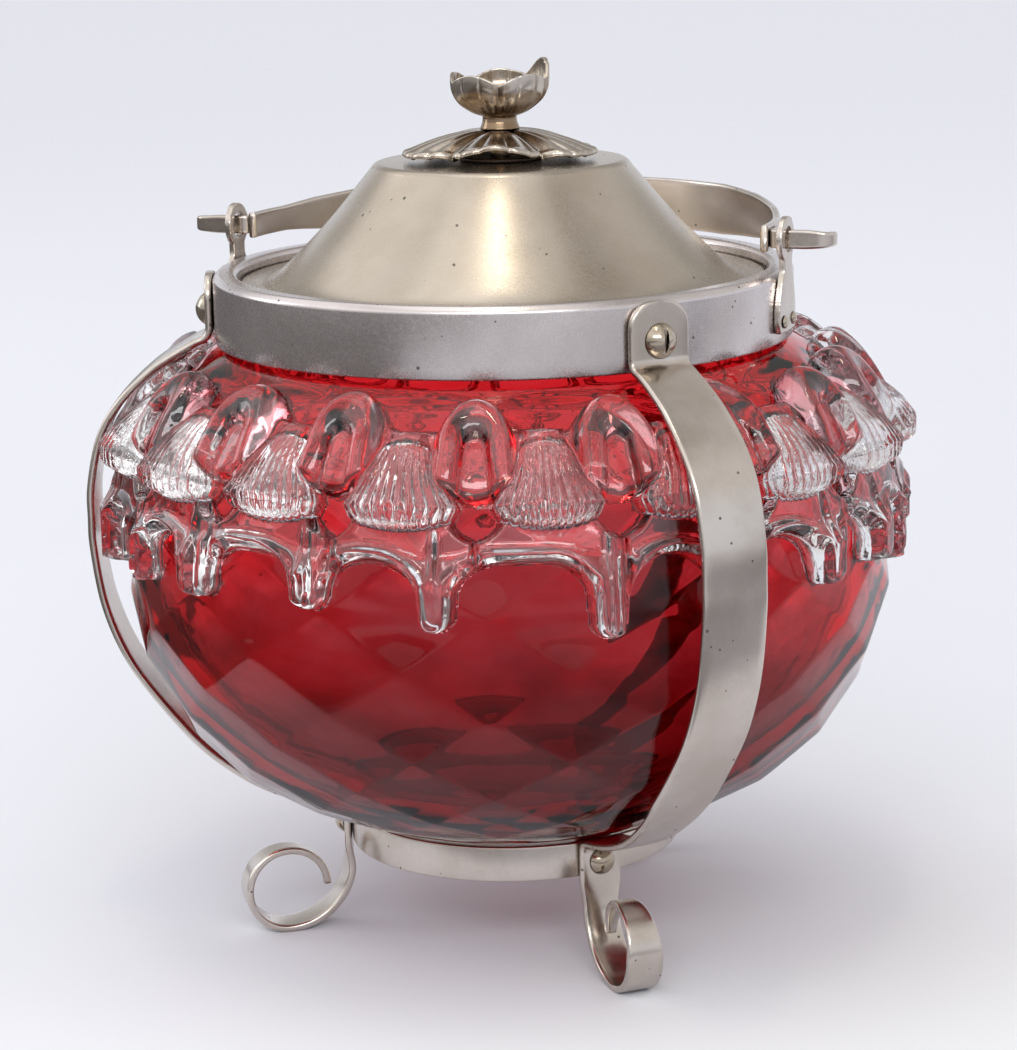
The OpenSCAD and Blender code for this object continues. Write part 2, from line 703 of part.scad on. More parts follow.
module finial_flower() {
    rim_z = cup_base + cup_h;
    stud_end = lid_top - lid_t - finial_nut_t - 1;
    outside = smooth([[stem_r, cup_base], [0.53 * cup_r, cup_base + 0.14 * cup_h],
        [0.79 * cup_r, cup_base + 0.4 * cup_h], [0.97 * cup_r, cup_base + 0.7 * cup_h],
        [cup_r, rim_z + petal_extra]], 5);
    inside = [for (p = beside(outside, petal_t)) if (p.y > cup_base + petal_t) p];
    color(worn_silver)
    intersection() {
        union() {
            rotate_extrude()
            polygon(concat([[0, cup_base - 0.5], [stem_r, cup_base - 0.5]], outside, reversed(inside),
                [[0, cup_base + 1.4 * petal_t]]));
            translate([0, 0, flower_base]) cylinder(r1 = stem_r + stem_flare, r2 = stem_r, h = stem_flare);
            translate([0, 0, flower_base + 0.5 * stem_flare]) cylinder(r = stem_r, h = stem_l);
            translate([0, 0, stud_end]) cylinder(d = stud_d, h = flower_base + 1 - stud_end);
        }
        union() {
            cylinder(r = cup_r, h = rim_z - petal_dip - 1);
            for (i = [0:petal_count - 1])
                rotate(i * 360 / petal_count + petal_turn)
                translate([0, 0, rim_z + (i == 1 ? petal_extra : 0)])
                rotate([90, 0, 90])
                linear_extrude(2 * cup_r)
                polygon(concat(
                    [[-0.62 * cup_r, -petal_dip - 6]],
                    arc(0, -0.62 * cup_r, 0.62 * cup_r, 180, 0, 14),
                    [[0.62 * cup_r, -petal_dip - 6]]));
        }
    }
}

module finial_nut() {
    color(worn_silver)
    translate([0, 0, lid_top - lid_t - fit_gap])
    rotate([0, 90, 0])
    hex_nut(finial_nut_w, finial_nut_t, stud_d + 2 * fit_gap);
}

// Frill: one ring of clear glass that lies on the bowl. Its outline and its thickness round the
// jar give the loops, the shells between them, the band below and its drips.
frill_cols = 240;
frill_rows = 18;
back_rows = 3;
// Half the angle round each leg in which the frill stays inside the strap, in degrees.
leg_zone = 7;
// Half the angle over which the band runs down into a drip, in degrees.
drip_sweep = 8;
// Shares of a drip's length that the band's edge takes, and the power of its curve.
drip_fall = 0.65;
drip_curve = 2.2;
// Thickness of the glass between the loops, above the band.
ground_t = 1.5;
// How much the two bars of a loop spread towards the band, in mm for each mm down.
bar_lean = 0.12;
// How far a shell falls off at its edges, from 0 to 1.
shell_fall = 0.7;
// Shares of the way from the collar down to the band's lower edge.
loop_centre = 0.37;
loop_foot = 0.66;
band_start = 0.7;
window_span = [0.56, 0.78];
// A shell's share of its thickness, and of half the pitch of the loops, by the share down.
shell_outs = [[0.14, 0.08], [0.32, 0.3], [0.43, 0.55], [0.56, 0.83], [0.68, 1], [0.76, 0.85], [0.82, 0.4]];
shell_halves = [[0.14, 0.3], [0.3, 0.26], [0.43, 0.4], [0.56, 0.54], [0.68, 0.74], [0.8, 0.6]];

function share_down(z) = (collar_bottom - z) / frill_band_drop;
// Distance round the bowl, at a height, of an angle.
function across(angle, z) = bowl_radius(z) * angle * PI / 180;
function loop_off(a) = let (turn = (a - frill_turn) * frill_count / 360)
    abs(turn - round(turn)) * 360 / frill_count;
function shell_off(a) = 180 / frill_count - loop_off(a);
function drip_off(a) = min([for (turn = drip_turns) abs((a - turn + 900) % 360 - 180)]);
// How far an angle lies from the nearest leg, in degrees.
function off_leg(a) = min([for (leg = leg_angles) abs((a - leg - 90 + 900) % 360 - 180)]);

function loop_form(a, z) =
    let (u = across(loop_off(a), z), w = z - collar_bottom + loop_centre * frill_band_drop)
    let (d = abs(w > 0 ? norm([u, w]) - loop_w / 2 : u - loop_w / 2 + bar_lean * w), bar_r = loop_bar_d / 2)
    share_down(z) > loop_foot || d > bar_r ? 0 : loop_t - bar_r + sqrt(bar_r * bar_r - d * d);
function shell_form(a, z) =
    let (s = across(shell_off(a), z), down = share_down(z))
    let (half = across(180 / frill_count, z) * lookup(down, shell_halves))
    s > half ? 0 : shell_t * lookup(down, shell_outs) * sqrt(1 - shell_fall * pow(s / half, 2));
function drip_form(a, z) =
    let (d = across(drip_off(a), z), half = drip_w / 2)
    d > half ? 0 : band_t + (drip_t - band_t) * sqrt(1 - pow(d / half, 2));
function band_form(a, z) =
    let (down = share_down(z), in_window = down > window_span[0] && down < window_span[1]
        && across(loop_off(a), z) < loop_w / 2)
    in_window ? 0 : down > band_start ? max(band_t, drip_form(a, z)) : ground_t;
function frill_thickness(a, z) =
    max(window_t, loop_form(a, z), shell_form(a, z), band_form(a, z));

function frill_top(a) =
    collar_bottom - frill_top_drop - loop_rise * (1 - abs(cos(frill_count * loop_off(a))));
function frill_bottom(a) =
    let (off = drip_off(a), tip = drip_w / 2 / belly_r * 180 / PI, base = collar_bottom - frill_band_drop)
    let (sweep = drip_fall * drip_l * pow(1 - min(off / drip_sweep, 1), drip_curve))
    base - max(sweep, off > tip ? 0 : drip_l - drip_w / 2 * (1 - sqrt(1 - pow(off / tip, 2))));

// Unit normal of the bowl at a height: [outwards, upwards].
function bowl_normal(z) =
    let (slope = bowl_radius(z + 0.5) - bowl_radius(z - 0.5))
    [1, -slope] / norm([1, slope]);
function frill_point(a, v) =
    let (z = frill_top(a) + v * (frill_bottom(a) - frill_top(a)))
    let (round_edge = sqrt(max(0, 1 - pow(2 * v - 1, 6))))
    let (out = [bowl_radius(z), z] + bowl_normal(z) * (frill_thickness(a, z) * round_edge - 0.2))
    let (limit = lookup(out.y, leg_radii) - frill_gap + 0.7 * max(0, off_leg(a) - leg_zone))
    let (r = min(out.x, limit))
    [r * sin(a), -r * cos(a), out.y];
function frill_back(a, v) =
    let (z = frill_top(a) + v * (frill_bottom(a) - frill_top(a)))
    let (r = bowl_radius(z) - fuse_depth)
    [r * sin(a), -r * cos(a), z];

module glass_frill() {
    points = [for (c = [0:frill_cols - 1]) let (a = 360 * c / frill_cols) each concat(
        [for (i = [0:frill_rows]) frill_point(a, i / frill_rows)],
        [for (i = [back_rows - 1:-1:1]) frill_back(a, i / back_rows)])];
    ring = len(points) / frill_cols;
    faces = [for (c = [0:frill_cols - 1], i = [0:ring - 1])
        let (n = (c + 1) % frill_cols, j = (i + 1) % ring)
        each [[c * ring + i, n * ring + i, n * ring + j], [c * ring + i, n * ring + j, c * ring + j]]];
    color(clear_glass)
    polyhedron(points, faces);
}

glass_jar();
glass_frill();
collar();
base_ring();
strap_leg(0);  // strap_leg_1
strap_leg(1);  // strap_leg_2
strap_leg(2);  // strap_leg_3
collar_screw(0);  // collar_screw_1
collar_screw(1);  // collar_screw_2
collar_screw(2);  // collar_screw_3
collar_nut(0);  // collar_nut_1
collar_nut(1);  // collar_nut_2
collar_nut(2);  // collar_nut_3
foot_bolt(0);  // foot_bolt_1
foot_bolt(1);  // foot_bolt_2
foot_bolt(2);  // foot_bolt_3
foot_nut(0);  // foot_nut_1
foot_nut(1);  // foot_nut_2
foot_nut(2);  // foot_nut_3
ear(180);  // ear_left
ear(0);  // ear_right
ear_rivets(180);  // ear_rivets_left
ear_rivets(0);  // ear_rivets_right
bail_band();
bail_hook(1);  // bail_hook_left
bail_hook(0);  // bail_hook_right
lid_shell();
lid_bezel();
finial_seat();
finial_rosette();
finial_flower();
finial_nut();
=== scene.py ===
"""The looks of a ruby glass biscuit jar in a plated metal frame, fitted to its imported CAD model."""

import math
import random

import bmesh
import bpy
import numpy as np
from mathutils import Matrix, Vector


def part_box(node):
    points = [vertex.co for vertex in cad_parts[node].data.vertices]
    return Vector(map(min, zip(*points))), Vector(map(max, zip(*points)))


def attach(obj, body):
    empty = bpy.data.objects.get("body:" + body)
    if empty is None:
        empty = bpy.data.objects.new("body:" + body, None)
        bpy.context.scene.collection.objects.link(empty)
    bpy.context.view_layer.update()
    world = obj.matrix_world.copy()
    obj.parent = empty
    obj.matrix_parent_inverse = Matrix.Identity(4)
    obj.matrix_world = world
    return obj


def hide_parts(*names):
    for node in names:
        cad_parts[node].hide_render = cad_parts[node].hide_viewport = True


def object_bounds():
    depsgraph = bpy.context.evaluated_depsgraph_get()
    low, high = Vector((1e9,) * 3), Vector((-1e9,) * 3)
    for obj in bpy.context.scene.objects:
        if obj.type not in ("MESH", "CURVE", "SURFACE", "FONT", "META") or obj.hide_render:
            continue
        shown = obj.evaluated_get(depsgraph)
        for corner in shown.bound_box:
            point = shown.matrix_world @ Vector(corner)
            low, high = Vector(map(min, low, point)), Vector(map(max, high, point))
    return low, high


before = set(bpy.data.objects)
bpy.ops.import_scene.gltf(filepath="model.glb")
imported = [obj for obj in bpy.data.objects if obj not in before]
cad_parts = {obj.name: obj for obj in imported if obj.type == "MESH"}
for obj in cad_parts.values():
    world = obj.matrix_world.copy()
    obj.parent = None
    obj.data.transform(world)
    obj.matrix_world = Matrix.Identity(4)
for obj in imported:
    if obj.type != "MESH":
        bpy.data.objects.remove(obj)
cad_low, cad_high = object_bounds()

MM = 0.001


def extent(node):
    """A CAD node's lowest and highest z, and its reach towards +X and +Y, in millimetres."""
    low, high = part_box(node)
    low, high = low / MM, high / MM
    return low.z, high.z, high.x, high.y


# ---- sizes, in millimetres
# Read from the frame.
ring_lift, ring_top, ring_r, _ = extent("base_ring")
glass_base, neck_top, belly_r, _ = extent("glass_jar")
collar_bottom, collar_top, collar_r, _ = extent("collar")
flange_z, lid_top, flange_r, _ = extent("lid_shell")
bezel_low, bezel_top, bezel_r, _ = extent("lid_bezel")
seat_low, seat_top, seat_r, _ = extent("finial_seat")
bail_low, bail_top, _, bail_r = extent("bail_band")
pivot_z = (bail_low + bail_top) / 2

# Bowl. Its outline is given in shares of the way across and up, below and above the belly.
belly_z = ring_top + 55.5
glass_wall = 4.5
neck_r = collar_r - 5.5
neck_wall = 2.8
neck_foot = collar_bottom + 4.7
shoulder_r = collar_r - 2.4
punt_h = 3.5
bowl_steps = 720
BOWL_LOW = [(0, 0), (0.09, 0.037), (0.2, 0.07), (0.35, 0.12), (0.54, 0.21), (0.68, 0.31),
            (0.825, 0.465), (0.94, 0.66), (0.99, 0.82), (1, 1)]
BOWL_HIGH = [(1, 0.11), (0.955, 0.333), (0.817, 0.6), (0.566, 0.81), (0.27, 0.923), (0, 1)]

# Diamonds pressed into the bowl: number, place of a corner, length along the wall, depth, and
# the heights over which they fade in and out.
diamonds = 15
diamond_turn = 29.7
diamond_z = 54.6
diamond_l = 20.4
diamond_depth = 1.4
diamonds_from, diamonds_full = glass_base + 1, glass_base + 9
diamonds_fade, diamonds_end = 119.5, 124.5

# Frill. Heights are given as z; thicknesses lie along the bowl's normal.
frill_low = 78.5
frill_high = 122.5
frill_row = 0.34
frill_column = 0.25
ground_t = 1.5
crest_z = collar_bottom - 4.9
crest_dip = 3.6
hollow_from = 2.5
fuse_depth = 0.7
frill_gap = 0.5
frill_reach = (cad_high.x / MM) - 0.15

# Its loops, and the windows inside them.
loops = 18
loop_turn = 16.6
loop_pitch = 360 / loops
loop_z = collar_bottom - 11.4
loop_r = 4.8
bar_r = 2.9
bar_lean = 0.12
tongue_half = 7.6
tongue_low = 105.2
window_low = 98.6
window_high = 107.0
window_half = 5.4

# Its ribbed shells: reach, half width and the grooves' depth, each at a height.
SHELL_OUT = [(94.0, 0.0), (100.1, 3.5), (102.0, 7.4), (104.5, 8.7), (108.2, 7.2), (112.2, 4.8),
             (115.5, 2.6), (121.0, 0.7)]
SHELL_HALF = [(94.0, 7.0), (100.8, 8.4), (104.5, 10.2), (108.2, 7.6), (112.2, 5.6), (116.2, 3.8),
              (121.0, 4.0)]
SHELL_GROOVE = [(100, 2.2), (104, 2.3), (110, 1.4), (116, 0.4)]
shell_ribs = 11
shell_top = 117.5
lip_z = 100.3

# Its band and its drips, each with an azimuth and a length.
band_low_z = 94.6
band_high_z = 104.0
band_t = 3.3
drip_tip_r = 3.3
drip_sweep = 9.0
DRIPS = [(-43, 11.6), (-27, 10.6), (-7, 9.6), (11, 12.6), (34.5, 14.5), (52, 13), (70, 11.2),
         (84, 10.6), (97, 14), (115, 12.6), (132, 14.5), (151, 13.2), (168, 14.2), (187, 12.8),
         (205, 14.4), (222, 13), (241, 14.2), (260, 12.7), (279, 13.8), (299, 13)]

# Collar.
collar_t = 1.2
rim_w = 5
shelf_top = flange_z - 0.1
shelf_w = 3.3
screw_z = collar_top - 8

# Strap legs. Their line is given in shares too, above and below where it stands out furthest.
leg_t = 1.6
leg_w = 14
tab_w = 13
tab_round = 5
tab_top = collar_top - 0.5
tab_low = screw_z - 3
tab_bend_z = screw_z - 3.45
tab_bend_r = 1.5
leg_reach = belly_r + 7.6
leg_belly_z = belly_z + 7
bend_r = 1.2
bend_z = ring_top - 0.4
tab_taper = 9
foot_taper = 16
foot_plate_w = 9.2
foot_w = 7.6
foot_tip_w = 2.2
scroll_d = 18
scroll_r = ring_r + 14.6
scroll_open = 0.5
foot_wear = 0.1
foot_in = ring_r + 0.05
foot_out = foot_in + leg_t
tab_out = collar_r + 0.05 + leg_t
foot_turns = [-8, 0, 15]
leg_angles = [-40, 80, 200]
LEG_HIGH = [(0.1, 1.015), (0.28, 0.945), (0.47, 0.855), (0.72, 0.685), (0.895, 0.485),
            (0.99, 0.2), (1, 0)]
LEG_LOW = [(0.997, 0.9), (0.96, 0.71), (0.88, 0.54), (0.76, 0.395), (0.58, 0.225), (0.44, 0.13),
           (0.32, 0.07), (0.21, 0.035), (0.1, 0.012), (0, 0)]

# Ears and bail. The taper gives shares of the narrowing at shares of the reach sideways.
SIDES = ("left", "right")
ear_in = collar_r + 0.05
ear_t = 1.3
bail_t = 1.5
bail_w = 10.6
bail_end_w = 5.2
BAIL_TAPER = [(0.0, 0.0), (0.60, 0.0), (0.78, 0.28), (0.92, 0.7), (0.975, 1.0), (1.0, 1.0)]
hook_w = 3.7
hook_tab_l = 6.0
hook_tab_t = 1.3
hook_bar_t = 1.9
hook_reach = 6
hook_turn_r = 1.0
hook_curl_r = 2.2

# Lid.
lid_t = 1
lid_top_r = 26.3
lid_round = 2
lid_hole_r = 2.2
seat_hole_r = 2.1
flare_r = flange_r - 4.7
LID_FLARE = [(0.14, 0.08), (0.32, 0.23), (0.5, 0.4), (0.68, 0.58), (0.86, 0.78)]

# Finial.
rosette_base = lid_top + 0.9
rosette_r = 20
rosette_h = 5.2
rosette_t = 1
rosette_gap = 0.45
rosette_flat_r = 4.2
leaves = 5
leaf_turn = 36
leaf_ribs = 5
front_leaf = -72
flower_base = rosette_base + rosette_h + 0.05
cup_base = flower_base + 2.6
cup_floor = cup_base + 1.8
stem_r = 3.4
STEM = [(1.95, 0), (3.9, 0), (4.0, 0.2), (3.8, 0.7), (3.5, 1.5), (stem_r, 2.3)]
stud_r = 1.95
stud_tip_r = 1.6
cup_r = 10.4
cup_h = 9
petals = 5
petal_turn = -33
petal_t = 1.0
petal_extra = 2.6
CUP_LINE = [(stem_r, 0.0), (0.56 * cup_r, 0.12), (0.83 * cup_r, 0.38), (0.955 * cup_r, 0.68),
            (0.965 * cup_r, 1.0)]

# ---- curves
def smooth(points, steps):
    """A smooth curve through the points, with the given steps between each two."""
    pts = [np.array(p, float) for p in points]
    curve = []
    for i in range(len(pts) - 1):
        p0, p1, p2, p3 = pts[max(i - 1, 0)], pts[i], pts[i + 1], pts[min(i + 2, len(pts) - 1)]
        for s in range(steps):
            t = s / steps
            curve.append(0.5 * (2 * p1 + (p2 - p0) * t + (2 * p0 - 5 * p1 + 4 * p2 - p3) * t * t
                                + (3 * p1 - p0 - 3 * p2 + p3) * t ** 3))
    curve.append(pts[-1])
    return np.array(curve)


def arc(x, y, r, start, end, steps):
    """Points on an arc round (x, y), from one angle to another, in degrees."""
    a = np.radians(np.linspace(start, end, steps + 1))
    return np.stack([x + r * np.cos(a), y + r * np.sin(a)], -1)


def between(start, end, shares):
    """Points at shares of the way across and up from one corner to another."""
    return [(start[0] + (end[0] - start[0]) * u, start[1] + (end[1] - start[1]) * v)
            for u, v in shares]


def normals_of(path):
    """Unit normals of a flat path, to the left of its direction."""
    run = np.gradient(path, axis=0)
    left = np.stack([-run[:, 1], run[:, 0]], -1)
    return left / np.linalg.norm(left, axis=1, keepdims=True)


def beside(path, distance):
    return path + distance * normals_of(path)


def lengths(path):
    """How far along the path each of its points lies."""
    return np.concatenate([[0], np.cumsum(np.linalg.norm(np.diff(path, axis=0), axis=1))])


def resampled(path, step):
    """The path with points at an even distance."""
    length = lengths(path)
    at = np.linspace(0, length[-1], max(3, int(round(length[-1] / step)) + 1))
    return np.stack([np.interp(at, length, path[:, k]) for k in range(path.shape[1])], -1)


def rounded(outline, radius):
    """A closed outline with its sharp corners rounded."""
    pts = np.array(outline, float)
    result = []
    for i, corner in enumerate(pts):
        before, after = pts[i - 1] - corner, pts[(i + 1) % len(pts)] - corner
        len_a, len_b = np.linalg.norm(before), np.linalg.norm(after)
        bend = np.dot(before, after) / (len_a * len_b)
        if bend < -0.85 or corner[0] < 1e-6:
            result.append(corner)
            continue
        cut = min(radius, 0.45 * len_a, 0.45 * len_b)
        start, end = corner + before / len_a * cut, corner + after / len_b * cut
        for t in np.linspace(0, 1, 5):
            result.append((1 - t) ** 2 * start + 2 * t * (1 - t) * corner + t * t * end)
    return np.array(result)


def smoothstep(x):
    """Rises from 0 to 1 with x, level at both ends."""
    x = np.clip(x, 0, 1)
    return x * x * (3 - 2 * x)


def ring(a, radius, z):
    """Points round the jar's axis, at angles in radians from +X."""
    return np.stack([radius * np.cos(a), radius * np.sin(a), z + 0 * a], -1)


def azimuth_ring(a, radius, z):
    """The same, at azimuths in radians from -Y."""
    return np.stack([radius * np.sin(a), -radius * np.cos(a), z + 0 * a], -1)


def rotated(x, y, angle):
    """Flat coordinates turned by an angle."""
    return x * math.cos(angle) - y * math.sin(angle), x * math.sin(angle) + y * math.cos(angle)


# ---- meshes
def grid_faces(rows, cols, wrap_rows=False, wrap_cols=False):
    """Quads between the points of a grid, which may close on itself either way."""
    i, j = np.meshgrid(np.arange(rows if wrap_rows else rows - 1),
                       np.arange(cols if wrap_cols else cols - 1), indexing="ij")
    n, m = (i + 1) % rows, (j + 1) % cols
    return np.stack([i * cols + j, i * cols + m, n * cols + m, n * cols + j], -1).reshape(-1, 4)


def linked(name, data):
    """A new object in the scene."""
    obj = bpy.data.objects.new(name, data)
    bpy.context.scene.collection.objects.link(obj)
    return obj


def mesh_object(name, verts, faces, merge=False):
    """A new object from points in millimetres, smooth shaded, with its normals outwards."""
    mesh = bpy.data.meshes.new(name)
    mesh.from_pydata((np.asarray(verts, float).reshape(-1, 3) * MM).tolist(), [],
                     [tuple(int(k) for k in f) for f in faces])
    work = bmesh.new()
    work.from_mesh(mesh)
    if merge:
        bmesh.ops.remove_doubles(work, verts=work.verts, dist=1e-6)
    bmesh.ops.recalc_face_normals(work, faces=work.faces)
    work.to_mesh(mesh)
    work.free()
    mesh.shade_smooth()
    return linked(name, mesh)


def place(obj, body, nodes, material):
    """Puts a finished piece on its body, in place of its CAD nodes."""
    if not obj.data.materials:
        obj.data.materials.append(material)
    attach(obj, body)
    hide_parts(*nodes)


def lathe(name, outline, steps=288):
    """A closed outline of (radius, height) points turned round the jar's axis."""
    outline = np.asarray(outline, float)
    a = np.arange(steps) * 2 * math.pi / steps
    verts = ring(a[:, None], outline[:, 0], outline[:, 1])
    return mesh_object(name, verts, grid_faces(steps, len(outline), True, True), merge=True)


def strip_outline(half, thick, edge, crown):
    """Cross-section of a flat bar: (across, out) points, its outer face at 0."""
    edge = min(edge, 0.49 * thick, 0.9 * half)
    face = np.linspace(-1, 1, 11)[1:-1]
    flat = half - edge
    outline = np.concatenate([
        np.stack([face * flat, np.zeros(9)], -1),
        arc(flat, -edge, edge, 90, 0, 4), arc(flat, -thick + edge, edge, 0, -90, 4),
        np.stack([-face * flat, np.full(9, -thick)], -1),
        arc(-flat, -thick + edge, edge, 270, 180, 4), arc(-flat, -edge, edge, 180, 90, 4)])
    outline[:, 1] -= crown * (outline[:, 0] / half) ** 2 * (outline[:, 1] > -0.5 * thick)
    return outline


def sweep(sections):
    """Points and faces of a bar from its cross-sections, one row of 3-D points each."""
    rows, cols = len(sections), len(sections[0])
    verts = np.array(sections).reshape(-1, 3)
    faces = [tuple(f) for f in grid_faces(rows, cols, False, True)]
    faces.append(tuple(range(cols)))
    faces.append(tuple(range((rows - 1) * cols, rows * cols)))
    return verts, faces


def melted(obj, voxel, rounds):
    """Joins all that overlaps in an object into one even skin, and softens its edges."""
    remesh = obj.modifiers.new("Remesh", "REMESH")
    remesh.mode = "VOXEL"
    remesh.voxel_size = voxel * MM
    soften = obj.modifiers.new("Smooth", "SMOOTH")
    soften.factor = 0.5
    soften.iterations = rounds
    bpy.context.view_layer.update()
    made = bpy.data.meshes.new_from_object(obj.evaluated_get(bpy.context.evaluated_depsgraph_get()))
    obj.modifiers.clear()
    old = obj.data
    obj.data = made
    bpy.data.meshes.remove(old)
    made.shade_smooth()
    return obj


# ---- materials
PIT_COLOUR = (0.10, 0.085, 0.075)
TARNISH_COLOUR = (0.09, 0.065, 0.05)
LOW_TINT_Z = 62.0
FULL_TINT_Z = 82.0


def add_node(tree, kind, inputs=None, **settings):
    """A shader node with its inputs linked, or set to values."""
    node = tree.nodes.new("ShaderNode" + kind)
    for key, value in settings.items():
        setattr(node, key, value)
    for key, value in (inputs or {}).items():
        if isinstance(value, bpy.types.NodeSocket):
            tree.links.new(value, node.inputs[key])
        else:
            node.inputs[key].default_value = value
    return node


def new_material(name):
    material = bpy.data.materials.new(name)
    material.use_nodes = True
    tree = material.node_tree
    tree.nodes.clear()
    return material, tree, add_node(tree, "OutputMaterial")


def in_millimetres(tree):
    """The surface point in millimetres, on the resting object."""
    point = add_node(tree, "TexCoord").outputs["Object"]
    return add_node(tree, "Mapping", {"Vector": point, "Scale": (1000, 1000, 1000)}).outputs[0]


def noise(tree, vector, scale, detail=3.0, rough=0.5, distortion=0.0):
    """Soft noise round 0.5; the scale is per millimetre."""
    return add_node(tree, "TexNoise", {
        "Vector": vector, "Scale": scale, "Detail": detail, "Roughness": rough,
        "Distortion": distortion}).outputs["Fac"]


def ramp(tree, value, low, high, to_low=0.0, to_high=1.0):
    """Maps a value's range smoothly to another."""
    return add_node(tree, "MapRange", {
        "Value": value, "From Min": low, "From Max": high, "To Min": to_low, "To Max": to_high},
        interpolation_type="SMOOTHSTEP").outputs["Result"]


def maths(tree, operation, a, b=0.0):
    return add_node(tree, "Math", {0: a, 1: b}, operation=operation).outputs[0]


def reach(tree, vector, direction):
    """How far a point or a direction reaches along another direction."""
    node = add_node(tree, "VectorMath", {0: vector, 1: direction}, operation="DOT_PRODUCT")
    return node.outputs["Value"]


def mixed(tree, share, a, b):
    """Colour a, changed to colour b by a share."""
    node = add_node(tree, "Mix", data_type="RGBA")
    for socket, value in ((node.inputs[0], share), (node.inputs[6], a), (node.inputs[7], b)):
        if isinstance(value, bpy.types.NodeSocket):
            tree.links.new(value, socket)
        else:
            socket.default_value = value if isinstance(value, float) else (*value, 1.0)
    return node.outputs[2]


def brushed(tree, point):
    """Fine lines round the jar's axis, as a polishing wheel leaves them."""
    parts = add_node(tree, "SeparateXYZ", {0: point})
    turn = maths(tree, "ARCTAN2", parts.outputs[1], parts.outputs[0])
    lines = add_node(tree, "CombineXYZ", {
        0: maths(tree, "MULTIPLY", turn, 1.4), 1: maths(tree, "MULTIPLY", parts.outputs[2], 2.2)})
    return noise(tree, lines.outputs[0], 1.0, 4.0, 0.65)


def worn_pits(tree, point, pitting):
    """Dark specks, scattered in patches: 1 inside a speck and 0 outside."""
    cells = add_node(tree, "TexVoronoi", {"Vector": point, "Scale": 0.62, "Randomness": 1.0})
    picks = add_node(tree, "SeparateColor", {0: cells.outputs["Color"]})
    patches = ramp(tree, noise(tree, point, 0.085, 3.0, 0.55), 0.5, 0.72, 0.04, pitting)
    chosen = maths(tree, "LESS_THAN", picks.outputs[0], patches)
    size = maths(tree, "ADD", maths(tree, "MULTIPLY", picks.outputs[1], 0.16), 0.07)
    speck = maths(tree, "LESS_THAN", cells.outputs["Distance"], size)
    return maths(tree, "MULTIPLY", speck, chosen)


def stained(tree, point, colour, stain):
    """A colour that gives way to a stain below a ragged line: stain, lowest and highest z."""
    stain_colour, from_z, to_z = stain
    ragged = ramp(tree, noise(tree, point, 0.22), 0.3, 0.7, -2.5, 2.5)
    height = add_node(tree, "SeparateXYZ", {0: point}).outputs[2]
    clean = ramp(tree, maths(tree, "ADD", height, ragged), from_z, to_z)
    return mixed(tree, clean, stain_colour, colour)


def plate(name, pale, dull, rough, pitting, tarnish, brushing=0.0, stain=None):
    """Aged silver plate: blotched, pitted in patches, dark in its hollows and stained low down."""
    material, tree, output = new_material(name)
    point = in_millimetres(tree)
    blotch = ramp(tree, noise(tree, point, 0.06, 6.0, 0.6), 0.35, 0.68)
    colour = mixed(tree, blotch, pale, dull)
    if stain:
        colour = stained(tree, point, colour, stain)
    pits = worn_pits(tree, point, pitting)
    colour = mixed(tree, maths(tree, "MULTIPLY", pits, 0.8), colour, PIT_COLOUR)
    openness = add_node(tree, "AmbientOcclusion", {"Distance": 1.6 * MM}, samples=12).outputs["AO"]
    hollow = ramp(tree, openness, 0.35, 0.85, tarnish, 0.0)
    colour = mixed(tree, hollow, colour, TARNISH_COLOUR)
    grain = noise(tree, point, 1.6, 5.0, 0.7)
    roughness = maths(tree, "ADD", ramp(tree, grain, 0.3, 0.75, rough - 0.03, rough + 0.05),
                      maths(tree, "MULTIPLY", pits, 0.25))
    relief = maths(tree, "SUBTRACT", maths(tree, "MULTIPLY", grain, 0.2), pits)
    if brushing:
        lines = maths(tree, "MULTIPLY", brushed(tree, point), brushing)
        relief = maths(tree, "ADD", relief, lines)
    bump = add_node(tree, "Bump", {"Height": relief, "Strength": 0.07, "Distance": 0.05 * MM})
    shader = add_node(tree, "BsdfPrincipled", {
        "Base Color": colour, "Metallic": 1.0, "Roughness": roughness, "Normal": bump.outputs[0]})
    tree.links.new(shader.outputs[0], output.inputs["Surface"])
    return material


def glass(name, ior, tint, low_tint, shadow_tint, ripple, ripple_scale, filtering=None):
    """Wavy glass, tinted low down, whose shadow lets light through. Its filtering is the colour
    that thick glass lets pass, and a density."""
    material, tree, output = new_material(name)
    point = in_millimetres(tree)
    waves = noise(tree, point, ripple_scale, 2.0, 0.4, 0.6)
    bump = add_node(tree, "Bump", {"Height": waves, "Strength": 1.0, "Distance": ripple * MM})
    cloud = ramp(tree, noise(tree, point, 0.05, 2.0), 0.3, 0.7, -6.0, 6.0)
    height = add_node(tree, "SeparateXYZ", {0: point}).outputs[2]
    upper = ramp(tree, maths(tree, "ADD", height, cloud), LOW_TINT_Z, FULL_TINT_Z)
    colour = mixed(tree, upper, low_tint, tint)
    if filtering:
        passing, density = filtering
        volume = add_node(tree, "VolumeAbsorption", {"Color": (*passing, 1.0), "Density": density})
        tree.links.new(volume.outputs[0], output.inputs["Volume"])
    shader = add_node(tree, "BsdfPrincipled", {
        "Base Color": colour, "Roughness": 0.0, "IOR": ior, "Transmission Weight": 1.0,
        "Normal": bump.outputs[0]})
    shadow = add_node(tree, "BsdfTransparent", {"Color": (*shadow_tint, 1.0)})
    in_shadow = add_node(tree, "LightPath").outputs["Is Shadow Ray"]
    mix = add_node(tree, "MixShader", {0: in_shadow, 1: shader.outputs[0], 2: shadow.outputs[0]})
    tree.links.new(mix.outputs[0], output.inputs["Surface"])
    return material


CUP_STAIN = ((0.27, 0.19, 0.12), cup_base + 2.5, cup_base + 8.5)
RUBY_FILTERING = ((0.93, 0.0, 0.08), 450.0)

